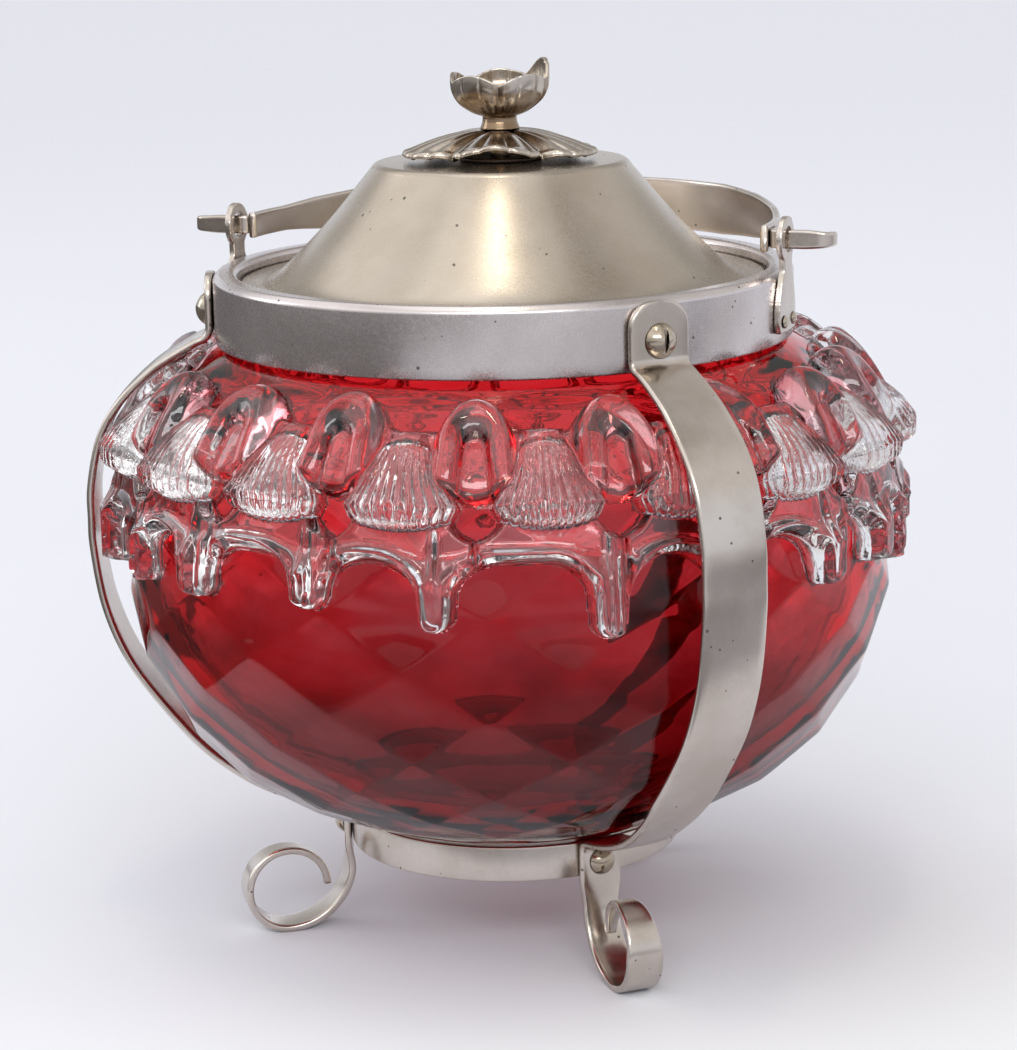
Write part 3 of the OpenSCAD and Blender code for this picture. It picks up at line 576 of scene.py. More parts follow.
# Each plate's pale and dull colour, then its roughness, pitting, tarnish and brushing.
silver = plate("silver_plate", (0.66, 0.60, 0.545), (0.55, 0.49, 0.43), 0.22, 0.45, 0.35)
collar_silver = plate("collar_plate", (0.70, 0.65, 0.64), (0.62, 0.57, 0.56), 0.26, 0.4, 0.3, 0.7)
lid_silver = plate("lid_plate", (0.53, 0.47, 0.395), (0.47, 0.41, 0.335), 0.28, 0.3, 0.4, 0.3)
bright = plate("polished_plate", (0.60, 0.54, 0.45), (0.40, 0.33, 0.25), 0.16, 0.2, 0.9)
flower_plate = plate("flower_plate", (0.66, 0.61, 0.55), (0.50, 0.43, 0.35), 0.2, 0.2, 1.0,
                     stain=CUP_STAIN)
leaf_plate = plate("leaf_plate", (0.58, 0.52, 0.45), (0.34, 0.28, 0.22), 0.2, 0.2, 1.0)
# Painted shade: a near-black plate for the finial's seat, standing in for the shade under the
# rosette's front arch.
painted_shade_plate = plate("painted_shade_plate", (0.16, 0.12, 0.10), (0.10, 0.08, 0.06), 0.5, 0.2, 0.9)
brass = plate("nut_brass", (0.52, 0.40, 0.20), (0.36, 0.27, 0.13), 0.35, 0.3, 0.8)
clear = glass("clear_glass", 1.64, (0.99, 0.99, 0.99), (0.97, 0.98, 0.98), (0.92, 0.91, 0.94),
              ripple=0.2, ripple_scale=0.15)
ruby = glass("ruby_glass", 1.38, (0.99, 0.98, 0.98), (0.48, 0.45, 0.48), (0.55, 0.5, 0.54),
             ripple=0.25, ripple_scale=0.06, filtering=RUBY_FILTERING)


# ---- glass bowl
def bowl_outline():
    """Outside of the bowl, from the base ring up to the neck, as (radius, height)."""
    points = between((ring_r, glass_base), (belly_r, belly_z), BOWL_LOW)
    points += between((shoulder_r, belly_z), (belly_r, collar_bottom), BOWL_HIGH)
    points += [(0.7 * neck_r + 0.3 * shoulder_r, 0.5 * (collar_bottom + neck_foot)),
               (neck_r, neck_foot)]
    return smooth(points, 24)


bowl_line = bowl_outline()
bowl_normals = -normals_of(bowl_line)
bowl_length = lengths(bowl_line)


def bowl_radius(z):
    return np.interp(z, bowl_line[:, 1], bowl_line[:, 0])


def up_the_wall(z):
    """Distance along the bowl's wall to a height."""
    return np.interp(z, bowl_line[:, 1], bowl_length)


def dished(x):
    """A dip from a diamond's edge, at 0, down to its middle, at 1, over a slightly rounded edge."""
    return 0.8 * (1 - (1 - x) ** 2) + 0.1 * (1 - np.cos(math.pi * x))


def quilt(azimuth, z):
    """Depth of the pressed diamonds at an azimuth, in degrees from -Y, and a height."""
    along = up_the_wall(z) - up_the_wall(diamond_z)
    p = (azimuth - diamond_turn) * diamonds / 360
    q = along / diamond_l
    u = 2 * np.abs((p + q) - np.round(p + q))
    v = 2 * np.abs((p - q) - np.round(p - q))
    depth = 0.5 * (dished(u) + dished(v))
    fade_in = smoothstep((z - diamonds_from) / (diamonds_full - diamonds_from))
    fade_out = 1 - smoothstep((z - diamonds_fade) / (diamonds_end - diamonds_fade))
    return diamond_depth * depth * fade_in * fade_out


def make_bowl():
    """The quilted wall up to the neck's rim, the smooth inside and the risen floor."""
    turn = np.arange(bowl_steps) * 360 / bowl_steps
    a = np.radians(turn)
    floor_z = glass_base + glass_wall
    under = [azimuth_ring(a, ring_r * share, glass_base + punt_h * (1 - share ** 2))
             for share in (0.0, 0.25, 0.5, 0.75, 0.93)]
    outside = [azimuth_ring(a, r - quilt(turn, z), z) for r, z in resampled(bowl_line, 0.62)]
    outside.append(azimuth_ring(a, neck_r, neck_top))
    wall_in = beside(bowl_line, glass_wall)
    wall_in = wall_in[wall_in[:, 1] < collar_bottom]
    neck_in = neck_r - neck_wall
    wall_in = np.concatenate([wall_in, [[neck_in, neck_foot], [neck_in, neck_top]]])
    inside = [azimuth_ring(a, r, z) for r, z in resampled(wall_in, 1.2)[::-1]]
    floor_r, floor_edge_z = wall_in[0]
    for share in (0.8, 0.6, 0.4, 0.2, 0.0):
        z = floor_z + punt_h * (1 - share ** 2) + (floor_edge_z - floor_z) * share ** 4
        inside.append(azimuth_ring(a, floor_r * share, z))
    verts = np.array(under + outside + inside)
    faces = grid_faces(len(verts), bowl_steps, False, True)
    obj = mesh_object("ruby_bowl", verts, faces, merge=True)
    place(obj, "jar", ["glass_jar"], ruby)


# ---- strap legs
def leg_line():
    """Outer face of a strap from its tab's top, round the belly, down to its curled tip."""
    tab_bend = arc(tab_out + tab_bend_r, tab_bend_z, tab_bend_r, 180, 240, 8)
    above = between((tab_out, leg_belly_z), (leg_reach, collar_bottom), LEG_HIGH)
    below = between((foot_out + bend_r, bend_z), (leg_reach, leg_belly_z), LEG_LOW)
    strap = smooth([tuple(tab_bend[-1])] + above + below, 10)
    foot_bend = arc(foot_out + bend_r, bend_z - bend_r, bend_r, 105, 180, 8)
    sweep_r = scroll_r - (foot_in + leg_t / 2)
    mid = (scroll_d - leg_t) / 2
    open_a = np.radians(np.linspace(92, 180, 24))
    open_r = mid + scroll_open * (np.degrees(open_a) - 90) / 90
    foot = np.concatenate([
        arc(scroll_r, sweep_r + leg_t / 2, sweep_r, 180, 268, 30),
        arc(scroll_r, scroll_d / 2, mid, 272, 450, 50),
        np.stack([scroll_r + open_r * np.cos(open_a), scroll_d / 2 + open_r * np.sin(open_a)], -1)])
    foot = beside(foot, leg_t / 2)
    foot[:, 1] -= foot_wear
    tab = [(tab_out, tab_top), (tab_out, tab_low)]
    return resampled(np.concatenate([tab, tab_bend[1:], strap[1:], foot_bend, foot]), 0.7)


leg_path = leg_line()
leg_inner = beside(leg_path, -leg_t)


def strap_half(z, past_bolt, curl):
    """Half the strip's width: at a height over the bowl, or along the foot."""
    if past_bolt:
        half = foot_plate_w / 2 + (foot_w - foot_plate_w) / 2 * smoothstep(past_bolt / 6)
        return half + (foot_tip_w / 2 - half) * curl
    if z > tab_top - tab_round:
        over = z - tab_top + tab_round
        return tab_w / 2 - tab_round + math.sqrt(max(0, tab_round ** 2 - over ** 2))
    heights = [ring_top + 0.4, ring_top + foot_taper, collar_bottom - tab_taper, collar_bottom]
    return float(np.interp(z, heights, [foot_plate_w / 2, leg_w / 2, leg_w / 2, tab_w / 2]))


def leg_route():
    """The strap's line with close points on its round top, its normals, and the length so far."""
    top = [(tab_out, tab_top - tab_round * (1 - math.cos(t)))
           for t in np.linspace(0, math.pi / 2, 14)[:-1]]
    below = leg_path[leg_path[:, 1] < tab_top - tab_round]
    path = np.concatenate([top, below])
    normal = np.concatenate([np.tile([1.0, 0.0], (len(top), 1)), normals_of(below)])
    return path, normal, lengths(path)


def make_strap_leg(index):
    """One strip of metal, turned to its place round the jar."""
    path, normal, length = leg_route()
    low = int(np.argmax((path[:, 1] < ring_lift) & (path[:, 0] < foot_out + 0.5)))
    outermost = low + int(np.argmax(path[low:, 0]))
    past_low = np.maximum(length - length[low], 0)
    curls = np.clip((length - length[outermost]) / (length[-1] - length[outermost]), 0, 1)
    upright = foot_in + leg_t / 2
    sections = []
    for (r, z), n, past, curl in zip(path, normal, past_low, curls):
        edge = 0.5 if past else 0.65
        outline = strip_outline(strap_half(z, past, curl), leg_t, edge, 0.12)
        x = r + outline[:, 1] * n[0]
        z = z + outline[:, 1] * n[1]
        foot_turn = math.radians(foot_turns[index]) * smoothstep((past - 0.5) / 7)
        x, y = rotated(x - upright, outline[:, 0], foot_turn)
        x, y = rotated(x + upright, y, math.radians(leg_angles[index]))
        sections.append(np.stack([x, y, np.maximum(z, 0)], -1))
    obj = mesh_object(f"leg_{index + 1}", *sweep(sections))
    place(obj, "jar", [f"strap_leg_{index + 1}"], silver)


# ---- glass frill
leg_zone = leg_inner[(leg_inner[:, 1] > belly_z) & (leg_inner[:, 1] < collar_bottom)]


def off_leg(azimuth):
    """Degrees from the nearest strap, whose own angle is measured from +X."""
    offs = [np.abs((azimuth - leg - 90 + 900) % 360 - 180) for leg in leg_angles]
    return np.min(offs, axis=0)


def on_bowl(azimuth, z, out):
    """The point at an azimuth and a height on the bowl, moved out along the bowl's normal."""
    r = bowl_radius(z) + out * np.interp(z, bowl_line[:, 1], bowl_normals[:, 0])
    h = z + out * np.interp(z, bowl_line[:, 1], bowl_normals[:, 1])
    return azimuth_ring(np.radians(azimuth), r, h)


def smooth_max(a, b, blend):
    """The larger of two heights, with the corner between them rounded."""
    share = np.clip(0.5 + 0.5 * (a - b) / blend, 0, 1)
    return b + (a - b) * share + blend * share * (1 - share)


def bead(inside, radius, thick):
    """Height at a distance inside a round edge, up to the full thickness; below zero outside it."""
    rise = np.sqrt(1 - np.clip(1 - inside / radius, 0, 1) ** 2)
    return np.where(inside > 0, rise * thick, inside)


def hump(x):
    """A half circle's height, for x from -1 to 1."""
    return np.sqrt(np.clip(1 - x * x, 0, 1))


def tongue_height(u, z):
    """One upturned loop of glass: two thick bars that bend over, with a groove between them."""
    above = z - loop_z
    across = np.where(above > 0, np.hypot(u, above), np.abs(u) + bar_lean * above)
    low = tongue_low + 0.12 * np.abs(u) ** 1.5
    inside = np.minimum(tongue_half - across, z - low)
    bars = hump((across - loop_r) / bar_r)
    return bead(inside, 2.4, 3.0 + 2.4 * bars)


def shell_height(s, z):
    """One ribbed shell between two loops, whose ribs spread down to a scalloped lip."""
    half = np.interp(z, *zip(*SHELL_HALF))
    t = s / half
    place_of_rib = t * shell_ribs / 2
    x = 2 * (place_of_rib - np.round(place_of_rib))
    lip = lip_z + 1.6 * t * t + 0.8 * x * x
    inside = np.minimum(np.minimum((1 - np.abs(t)) * half, z - lip), shell_top - z)
    body = np.interp(z, *zip(*SHELL_OUT)) * np.sqrt(np.clip(1 - 0.5 * t * t, 0, 1))
    ribs = np.interp(z, *zip(*SHELL_GROOVE)) * (np.sqrt(1 - 0.9 * x * x) - 1)
    return bead(inside, 1.9, body + ribs)


def band_height(turns, z):
    """The smooth band below the shells: it sags towards each drip, which ends in a round tip."""
    mm_round = np.radians(1) * bowl_radius(z)
    sag = np.zeros_like(turns)
    drop = np.full_like(turns, -9.0)
    ridge = np.zeros_like(turns)
    for turn, length in DRIPS:
        off = np.abs((turns - turn + 180) % 360 - 180)
        near = np.clip(1 - off / drip_sweep, 0, 1)
        sag = np.maximum(sag, 0.84 * length * near ** 2.5)
        tip_z = band_low_z - length + drip_tip_r
        half = drip_tip_r * (1 + 0.02 * np.clip(z - tip_z, 0, 9))
        drop = np.maximum(drop, half - np.hypot(off * mm_round, np.clip(tip_z - z, 0, None)))
        line = np.exp(-(off * mm_round / 0.8) ** 2)
        line = line * smoothstep((z - tip_z + 2.5) / 3) * smoothstep((103 - z) / 6)
        ridge = np.maximum(ridge, line)
    edge = band_low_z - sag
    slope = np.gradient(edge, axis=1) / np.gradient(turns, axis=1) / mm_round
    inside = smooth_max((z - edge) / np.sqrt(1 + slope * slope), drop, 1.2)
    rim = 0.8 * np.exp(-((inside - 1.9) / 1.1) ** 2)
    drips = 2.0 * hump((drip_tip_r - drop) / 4.6) * smoothstep((97 - z) / 6)
    thick = bead(band_high_z - z, 3.0, band_t - 0.5 + rim + drips + 0.9 * ridge)
    return np.minimum(thick, bead(inside, 2.3, thick))


def frill_heights(turns, z):
    """How far the frill, and its tongues alone, stand out at grids of azimuth and height."""
    rng = random.Random(7)
    tall = np.array([rng.uniform(-0.5, 0.5) for _ in range(loops)])
    lean = np.array([rng.uniform(-0.5, 0.5) for _ in range(loops)])
    mm_round = np.radians(1) * bowl_radius(z)
    wave = 0.35 * np.sin(np.radians(5 * turns + 40)) + 0.25 * np.sin(np.radians(11 * turns + 4 * z))
    number = (turns - loop_turn + wave) / loop_pitch
    loop = np.round(number).astype(int) % loops
    shell = np.floor(number).astype(int) % loops
    u = ((number - np.round(number)) * loop_pitch + lean[loop] * (z - 108) / 10) * mm_round
    s = (number - np.floor(number) - 0.5) * loop_pitch * mm_round

    crest = crest_dip * np.sin(np.radians(loops * u / mm_round / 2)) ** 2
    top = crest_z - crest + tall[loop]
    web = 1.1 * np.exp(-(s / 1.6) ** 2) * smoothstep((z - 110) / 4)
    ground = bead(top - z, 2.0, ground_t + web)
    ground = np.where(z < band_high_z - 3, -1.0, ground)
    height = smooth_max(ground, band_height(turns, z), 0.8)

    open_half = window_half * np.sqrt(np.clip((z - window_low) / 5, 0, 1))
    outside = np.where(z < window_high, np.abs(u) - open_half, 5.0)
    height = np.minimum(height, np.where(outside < 3, bead(outside, 1.6, 3.4), 9.0))

    height = smooth_max(height, shell_height(s, z + 0.5 * tall[shell]), 0.5)
    tongue = tongue_height(u, z - tall[loop])
    return smooth_max(height, tongue, 0.5), tongue


def filled_corners(kept):
    """Adds the cells that join cells which touch only at a corner."""
    for _ in range(3):
        right, above = np.roll(kept, -1, 1), np.roll(kept, -1, 0)
        both = np.roll(right, -1, 0)
        kept = kept | (right & above & ~both) | np.roll(kept & both & ~right & ~above, 1, 1)
    return kept


def skin(name, outer, back, kept):
    """A closed mesh between two grids of points that go round the jar, over the cells kept."""
    rows, cols = outer.shape[:2]
    number = np.arange(rows * cols).reshape(rows, cols)
    right = np.roll(number, -1, 1)
    a, b, c, d = number[:-1], right[:-1], right[1:], number[1:]
    below = np.vstack([np.zeros((1, cols), bool), kept[:-1]])
    above = np.vstack([kept[1:], np.zeros((1, cols), bool)])
    under = rows * cols
    faces = [np.stack([a, b, c, d], -1)[kept], np.stack([d, c, b, a], -1)[kept] + under]
    sides = [(a, b, below), (b, c, np.roll(kept, -1, 1)), (c, d, above),
             (d, a, np.roll(kept, 1, 1))]
    for p, q, neighbour in sides:
        edge = kept & ~neighbour
        faces.append(np.stack([q[edge], p[edge], p[edge] + under, q[edge] + under], -1))
    faces = np.concatenate(faces)
    used, faces = np.unique(faces, return_inverse=True)
    verts = np.concatenate([outer.reshape(-1, 3), back.reshape(-1, 3)])[used]
    return mesh_object(name, verts, faces.reshape(-1, 4))


def frill_grid():
    """Azimuths and heights of the frill's points, evenly spaced up the bowl's wall."""
    along = np.arange(up_the_wall(frill_low), up_the_wall(frill_high), frill_row)
    z = np.interp(along, bowl_length, bowl_line[:, 1])
    return np.meshgrid(np.arange(0, 360, frill_column), z)


def clear_of_straps(outer, turns):
    """Draws points in where they would touch a strap or pass the jar's reach."""
    radius = np.hypot(outer[..., 0], outer[..., 1])
    strap = np.interp(outer[..., 2], leg_zone[::-1, 1], leg_zone[::-1, 0]) - frill_gap
    limit = np.minimum(strap + 0.7 * np.maximum(0, off_leg(turns) - 7), frill_reach)
    outer[..., :2] *= (np.minimum(radius, limit) / radius)[..., None]
    return outer


def make_frill():
    """The clear glass as a skin over the bowl, with a hollow back behind its thick parts."""
    turns, z = frill_grid()
    height, tongue = frill_heights(turns, z)
    near = (np.roll(height, 1, 1) + np.roll(height, -1, 1)
            + np.roll(height, 1, 0) + np.roll(height, -1, 0))
    height[1:-1] = (0.5 * height + 0.125 * near)[1:-1]
    pressed = quilt(turns, z)
    out = np.clip(height, -0.35, None) - pressed * (1 - smoothstep(height / 2))
    outer = on_bowl(turns, z, out)
    hollow = (1.25 * np.clip(height - hollow_from, 0, 1)
              + 0.55 * np.clip(height - hollow_from - 1, 0, None))
    hollow = hollow * (1 - smoothstep(tongue / 2))
    back = on_bowl(turns, z, hollow - pressed - fuse_depth)
    solid = height > -0.3
    right = np.roll(solid, -1, 1)
    kept = filled_corners(solid[:-1] | right[:-1] | solid[1:] | right[1:])
    obj = skin("clear_frill", clear_of_straps(outer, turns), back, kept)
    place(obj, "jar", ["glass_frill"], clear)


# ---- collar, ring and fasteners
def make_collar():
    """A sheet band whose rim turns inwards and steps down to a shelf for the lid."""
    recess_r = collar_r - rim_w
    hole_r = recess_r - shelf_w
    wall_in = recess_r + collar_t
    sheet_in = collar_r - collar_t
    outline = [(collar_r - 0.12, collar_bottom), (collar_r, collar_bottom + 3),
               (collar_r, collar_top - 1.1), (collar_r - 1.1, collar_top),
               (recess_r + 0.8, collar_top), (recess_r, collar_top - 0.8),
               (recess_r, shelf_top), (hole_r, shelf_top), (hole_r, shelf_top - collar_t),
               (wall_in, shelf_top - collar_t), (wall_in, collar_top - collar_t),
               (sheet_in, collar_top - collar_t), (sheet_in, collar_bottom)]
    obj = lathe("rolled_collar", rounded(outline, 0.5))
    place(obj, "jar", ["collar"], collar_silver)


def square_ring(name, inner, outer, low, high, radius, steps):
    """A ring with a square section and rounded edges."""
    outline = rounded([(outer, low), (outer, high), (inner, high), (inner, low)], radius)
    return lathe(name, outline, steps)


def make_base_ring():
    obj = square_ring("ring_band", ring_r - 1.2, ring_r, ring_lift, ring_top, 0.4, 192)
    place(obj, "jar", ["base_ring"], silver)


def place_softened(node, name, voxel, rounds, material):
    """Puts a copy of a CAD node, with its sharp edges worn round, in the node's place."""
    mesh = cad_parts[node].data.copy()
    mesh.materials.clear()
    place(melted(linked(name, mesh), voxel, rounds), "jar", [node], material)


def paint(node, material):
    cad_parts[node].data.materials.clear()
    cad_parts[node].data.materials.append(material)


def make_fasteners():
    for i in (1, 2, 3):
        place_softened(f"collar_screw_{i}", f"slotted_screw_{i}", 0.14, 2, bright)
        place_softened(f"foot_bolt_{i}", f"domed_bolt_{i}", 0.14, 2, bright)
        paint(f"collar_nut_{i}", brass)
        paint(f"foot_nut_{i}", brass)
    paint("finial_nut", brass)


def make_ears():
    for side in SIDES:
        place_softened(f"ear_{side}", f"eyelet_{side}", 0.2, 3, silver)
        place_softened(f"ear_rivets_{side}", f"rivets_{side}", 0.12, 2, bright)


# ---- bail handle
def make_bail_band():
    """A flat band bent to a half circle, narrow at its ends."""
    ends = math.degrees(math.asin(1.0 / bail_r))
    sections = []
    for a in np.radians(np.linspace(-ends, 180 + ends, 220)):
        c, s = math.cos(a), math.sin(a)
        narrow = float(np.interp(abs(c), *zip(*BAIL_TAPER)))
        half = bail_w / 2 + (bail_end_w - bail_w) / 2 * narrow
        outline = strip_outline(half, bail_t, 0.45, 0.0)
        r = bail_r + outline[:, 1]
        sections.append(np.stack([r * c, r * s, pivot_z + outline[:, 0]], -1))
    obj = mesh_object("bail_strip", *sweep(sections))
    place(obj, "bail", ["bail_band"], silver)


def hook_line():
    """Middle of a hook from above: tab on the band, bar through the eyelet, curled end."""
    tab_r = bail_r + 0.05 + hook_tab_t / 2
    out_r = ear_in + ear_t + hook_reach
    tab = arc(0, 0, tab_r, math.degrees(hook_tab_l / tab_r), 1.0, 10)
    turn = arc(tab_r + hook_turn_r, hook_turn_r, hook_turn_r, 180, 270, 5)[1:]
    bar = np.stack([np.linspace(tab_r + hook_turn_r + 0.6, out_r, 16), np.zeros(16)], -1)
    curl = arc(out_r, hook_curl_r, hook_curl_r, 270, 395, 16)[1:]
    return resampled(np.concatenate([tab, turn, bar, curl]), 0.35)


def make_bail_hook(side):
    """A flat hook that thickens into its bar and tapers to its tip."""
    mirror = 1 if side == "right" else -1
    path = hook_line()
    sections = []
    for (x, y), n, t in zip(path, normals_of(path), np.linspace(0, 1, len(path))):
        half = hook_w / 2 * (1 - 0.3 * smoothstep((t - 0.6) / 0.4))
        bar = smoothstep((t - 0.2) / 0.12) * (1 - 0.35 * smoothstep((t - 0.75) / 0.25))
        thick = hook_tab_t + (hook_bar_t - hook_tab_t) * bar
        outline = strip_outline(half, thick, 0.45, 0.05)
        shift = outline[:, 1] + thick / 2
        x, y = x + shift * n[0], y + shift * n[1]
        sections.append(np.stack([mirror * x, y, pivot_z + outline[:, 0]], -1))
    obj = mesh_object(f"hook_{side}", *sweep(sections))
    place(obj, "bail", [f"bail_hook_{side}"], silver)


# ---- lid and finial
def make_lid():
    """The lid's thin dome, the ring that centres it in the collar and the disc on its top."""
    shoulder = (lid_top_r + 0.5 * lid_round, lid_top - 0.6 * lid_round)
    flare = [(flare_r + 1.2, flange_z + lid_t), (flare_r, flange_z + 1.2 * lid_t)]
    flare = smooth(flare + between((flare_r, flange_z + lid_t), shoulder, LID_FLARE), 8)
    bend = arc(lid_top_r - lid_round, lid_top - lid_round, lid_round, 25, 90, 10)
    outer = np.concatenate([[(flange_r, flange_z + lid_t)], flare, bend, [(lid_hole_r, lid_top)]])
    inner = beside(outer, lid_t)
    outline = np.concatenate([rounded(outer, 0.3), inner[::-1]])
    place(lathe("lid_dome", outline, 360), "lid", ["lid_shell"], lid_silver)
    bezel = square_ring("bezel_ring", bezel_r - 1, bezel_r, bezel_low, bezel_top, 0.3, 240)
    place(bezel, "lid", ["lid_bezel"], lid_silver)
    # The seat disc gets the near-black plate: painted shade where the rosette's front leaf arches
    # over it.
    seat = square_ring("seat_disc", seat_hole_r, seat_r, seat_low, seat_top, 0.3, 128)
    place(seat, "lid", ["finial_seat"], painted_shade_plate)


def make_rosette():
    """A domed ring of ribbed leaves; the one in front arches clear of the lid."""
    a = np.radians(np.arange(0, 360, 0.75))
    turn = leaves * (a - math.radians(leaf_turn)) / 2
    leaf = np.abs(np.sin(turn))
    rib = np.abs(np.sin(leaf_ribs * turn + 0.35 * np.sin(3 * a) + 0.25 * np.sin(7 * a)))
    front = np.exp(-(((np.degrees(a) - front_leaf + 180) % 360 - 180) / 32) ** 2)
    edge = rosette_r - 0.1 - 4.6 * (1 - leaf) ** 1.7 - 0.7 * (1 - rib) ** 1.5
    low_edge = lid_top + rosette_gap + rosette_t
    high = rosette_base + rosette_h
    tops, lows = [], []
    for share in np.concatenate([np.linspace(0.11, 0.9, 30), [0.94, 0.97, 0.99, 1.0]]):
        r = edge * share
        drop = (np.clip(r - rosette_flat_r, 0, None) / (rosette_r - rosette_flat_r)) ** 1.75
        arch = share ** 2.5 * (0.2 + 2.6 * front) * leaf ** 1.5
        ribs = 1.1 * share ** 1.6 * (np.sqrt(rib) - 0.75) * (1 - 0.3 * share ** 8)
        lip = np.exp(-((1 - share) * edge / 1.1) ** 2)
        round_off = 0.7 * (1 - math.sqrt(1 - max(0, (share - 0.93) / 0.07) ** 2))
        valley = 4.8 * (1 - leaf) ** 3 * share * (1 - 0.6 * share)
        z = high - (high - low_edge) * drop + arch + ribs + 0.5 * lip - round_off - valley
        z = np.clip(z, low_edge, high)
        low = np.maximum(z - rosette_t - 0.6 * lip + 2 * round_off, low_edge - rosette_t)
        tops.append(ring(a, r, z))
        lows.append(ring(a, r, low))
    verts = np.array(tops + lows[::-1])
    obj = mesh_object("leaf_rosette", verts, grid_faces(len(verts), len(a), True, True))
    melted(obj, 0.18, 3)
    place(obj, "lid", ["finial_rosette"], leaf_plate)


def cup_rim(a):
    """Height of the flower's rim at an angle, in radians: five lobes, one of them tall."""
    turn = (np.degrees(a) - petal_turn) * petals / 360
    off = np.abs(turn - np.round(turn)) * 2
    from_tall = (np.degrees(a) - petal_turn - 360 / petals + 180) % 360 - 180
    tall = petal_extra * np.exp(-(from_tall / 36) ** 2)
    return cup_base + cup_h - 0.35 + tall - 2.1 * off ** 1.8


def make_flower():
    """A cup of five petals with seams between them, on a short stem with a stud below."""
    a = np.radians(np.arange(0, 360, 1.0))
    turn = (np.degrees(a) - petal_turn) * petals / 360
    along = turn - np.floor(turn + 0.5)
    fold = 0.45 * smoothstep((along + 0.5) / 0.9)
    seam = 0.8 * np.exp(-((0.5 - np.abs(along)) / 0.045) ** 2)
    vein = 0.4 * np.exp(-((np.abs(along) - 0.17) / 0.022) ** 2) * (1 - along)
    rim = cup_rim(a)
    outs, ins = [], []
    for r, share in smooth(CUP_LINE, 10):
        z = cup_base + (rim - cup_base) * share
        pleats = smoothstep(share / 0.25) * (fold + (vein + seam) * (1 - 0.5 * share))
        radius = r - pleats + 0.12
        outs.append(ring(a, radius, z))
        if share > 0.12:
            ins.append(ring(a, radius - petal_t * (1 - 0.25 * share), z + 0.25 * (1 - share)))
    stud_end = extent("finial_flower")[0] - flower_base
    stud = [(0, stud_end), (stud_tip_r, stud_end), (stud_r, stud_end + 0.35)]
    stem = [ring(a, r, flower_base + z) for r, z in stud + STEM]
    verts = np.array(stem + outs + ins[::-1] + [ring(a, 0, cup_floor)])
    obj = mesh_object("flower_cup", verts, grid_faces(len(verts), len(a), False, True), merge=True)
    melted(obj, 0.13, 2)
    place(obj, "lid", ["finial_flower"], flower_plate)


# ---- camera, floor and light
# Places are in metres. The front is 21 degrees from -Y towards +X.
camera_at = Vector((0.2320, -0.6043, 0.22736))
camera_target = Vector((0, 0, 0.0848))
camera_roll = 0.0216
camera_lens = 110.57
FRONT = (0.358, -0.934, 0)
BACK = (-0.358, 0.934, 0)
RIGHT = (0.934, 0.358, 0)
FRONT_RIGHT = (0.738, -0.675, 0)
FRONT_LEFT = (-0.695, -0.719, 0)

# The cloth as the camera sees it, with painted light near the jar's front and right, and as
# reflections and bounced light find it, with painted shade in front of the jar, far to the front
# right and on the left.
CLOTH = (0.80, 0.82, 0.885)
CLOTH_PALE = (0.815, 0.835, 0.90)
CLOTH_PAINTED_LIGHT_NEAR = (0.915, 0.935, 0.97)
CLOTH_FAR = (0.86, 0.88, 0.945)
PAINTED_SHADE_RIGHT = (0.58, 0.58, 0.61)
PAINTED_SHADOW_FRONT = (0.32, 0.32, 0.35)
PAINTED_SHADE_LEFT = (0.14, 0.13, 0.13)
floor_half = 9000

ROOM_WALL = (0.86, 0.89, 0.96)
ROOM_DIM = (0.14, 0.13, 0.125)
ROOM_HIGH = (0.78, 0.76, 0.75)
ROOM_TOP = (0.42, 0.40, 0.38)
ROOM_BACK = (0.40, 0.39, 0.38)
ROOM_SEEN = (0.78, 0.80, 0.86)


def make_camera():
    """A viewpoint in front of the jar and slightly above it, a little rolled."""
    ahead = (camera_target - camera_at).normalized()
    right = ahead.cross(Vector((0, 0, 1))).normalized()
    up = (right.cross(ahead) + camera_roll * right).normalized()
    right = ahead.cross(up).normalized()
    turn = Matrix((right, up, -ahead)).transposed()
    camera = linked("camera", bpy.data.cameras.new("camera"))
    camera.matrix_world = Matrix.Translation(camera_at) @ turn.to_4x4()
    camera.data.lens = camera_lens
    camera.data.sensor_width = 36
    camera.data.clip_start = 0.01
    camera.data.clip_end = 50
    bpy.context.scene.camera = camera


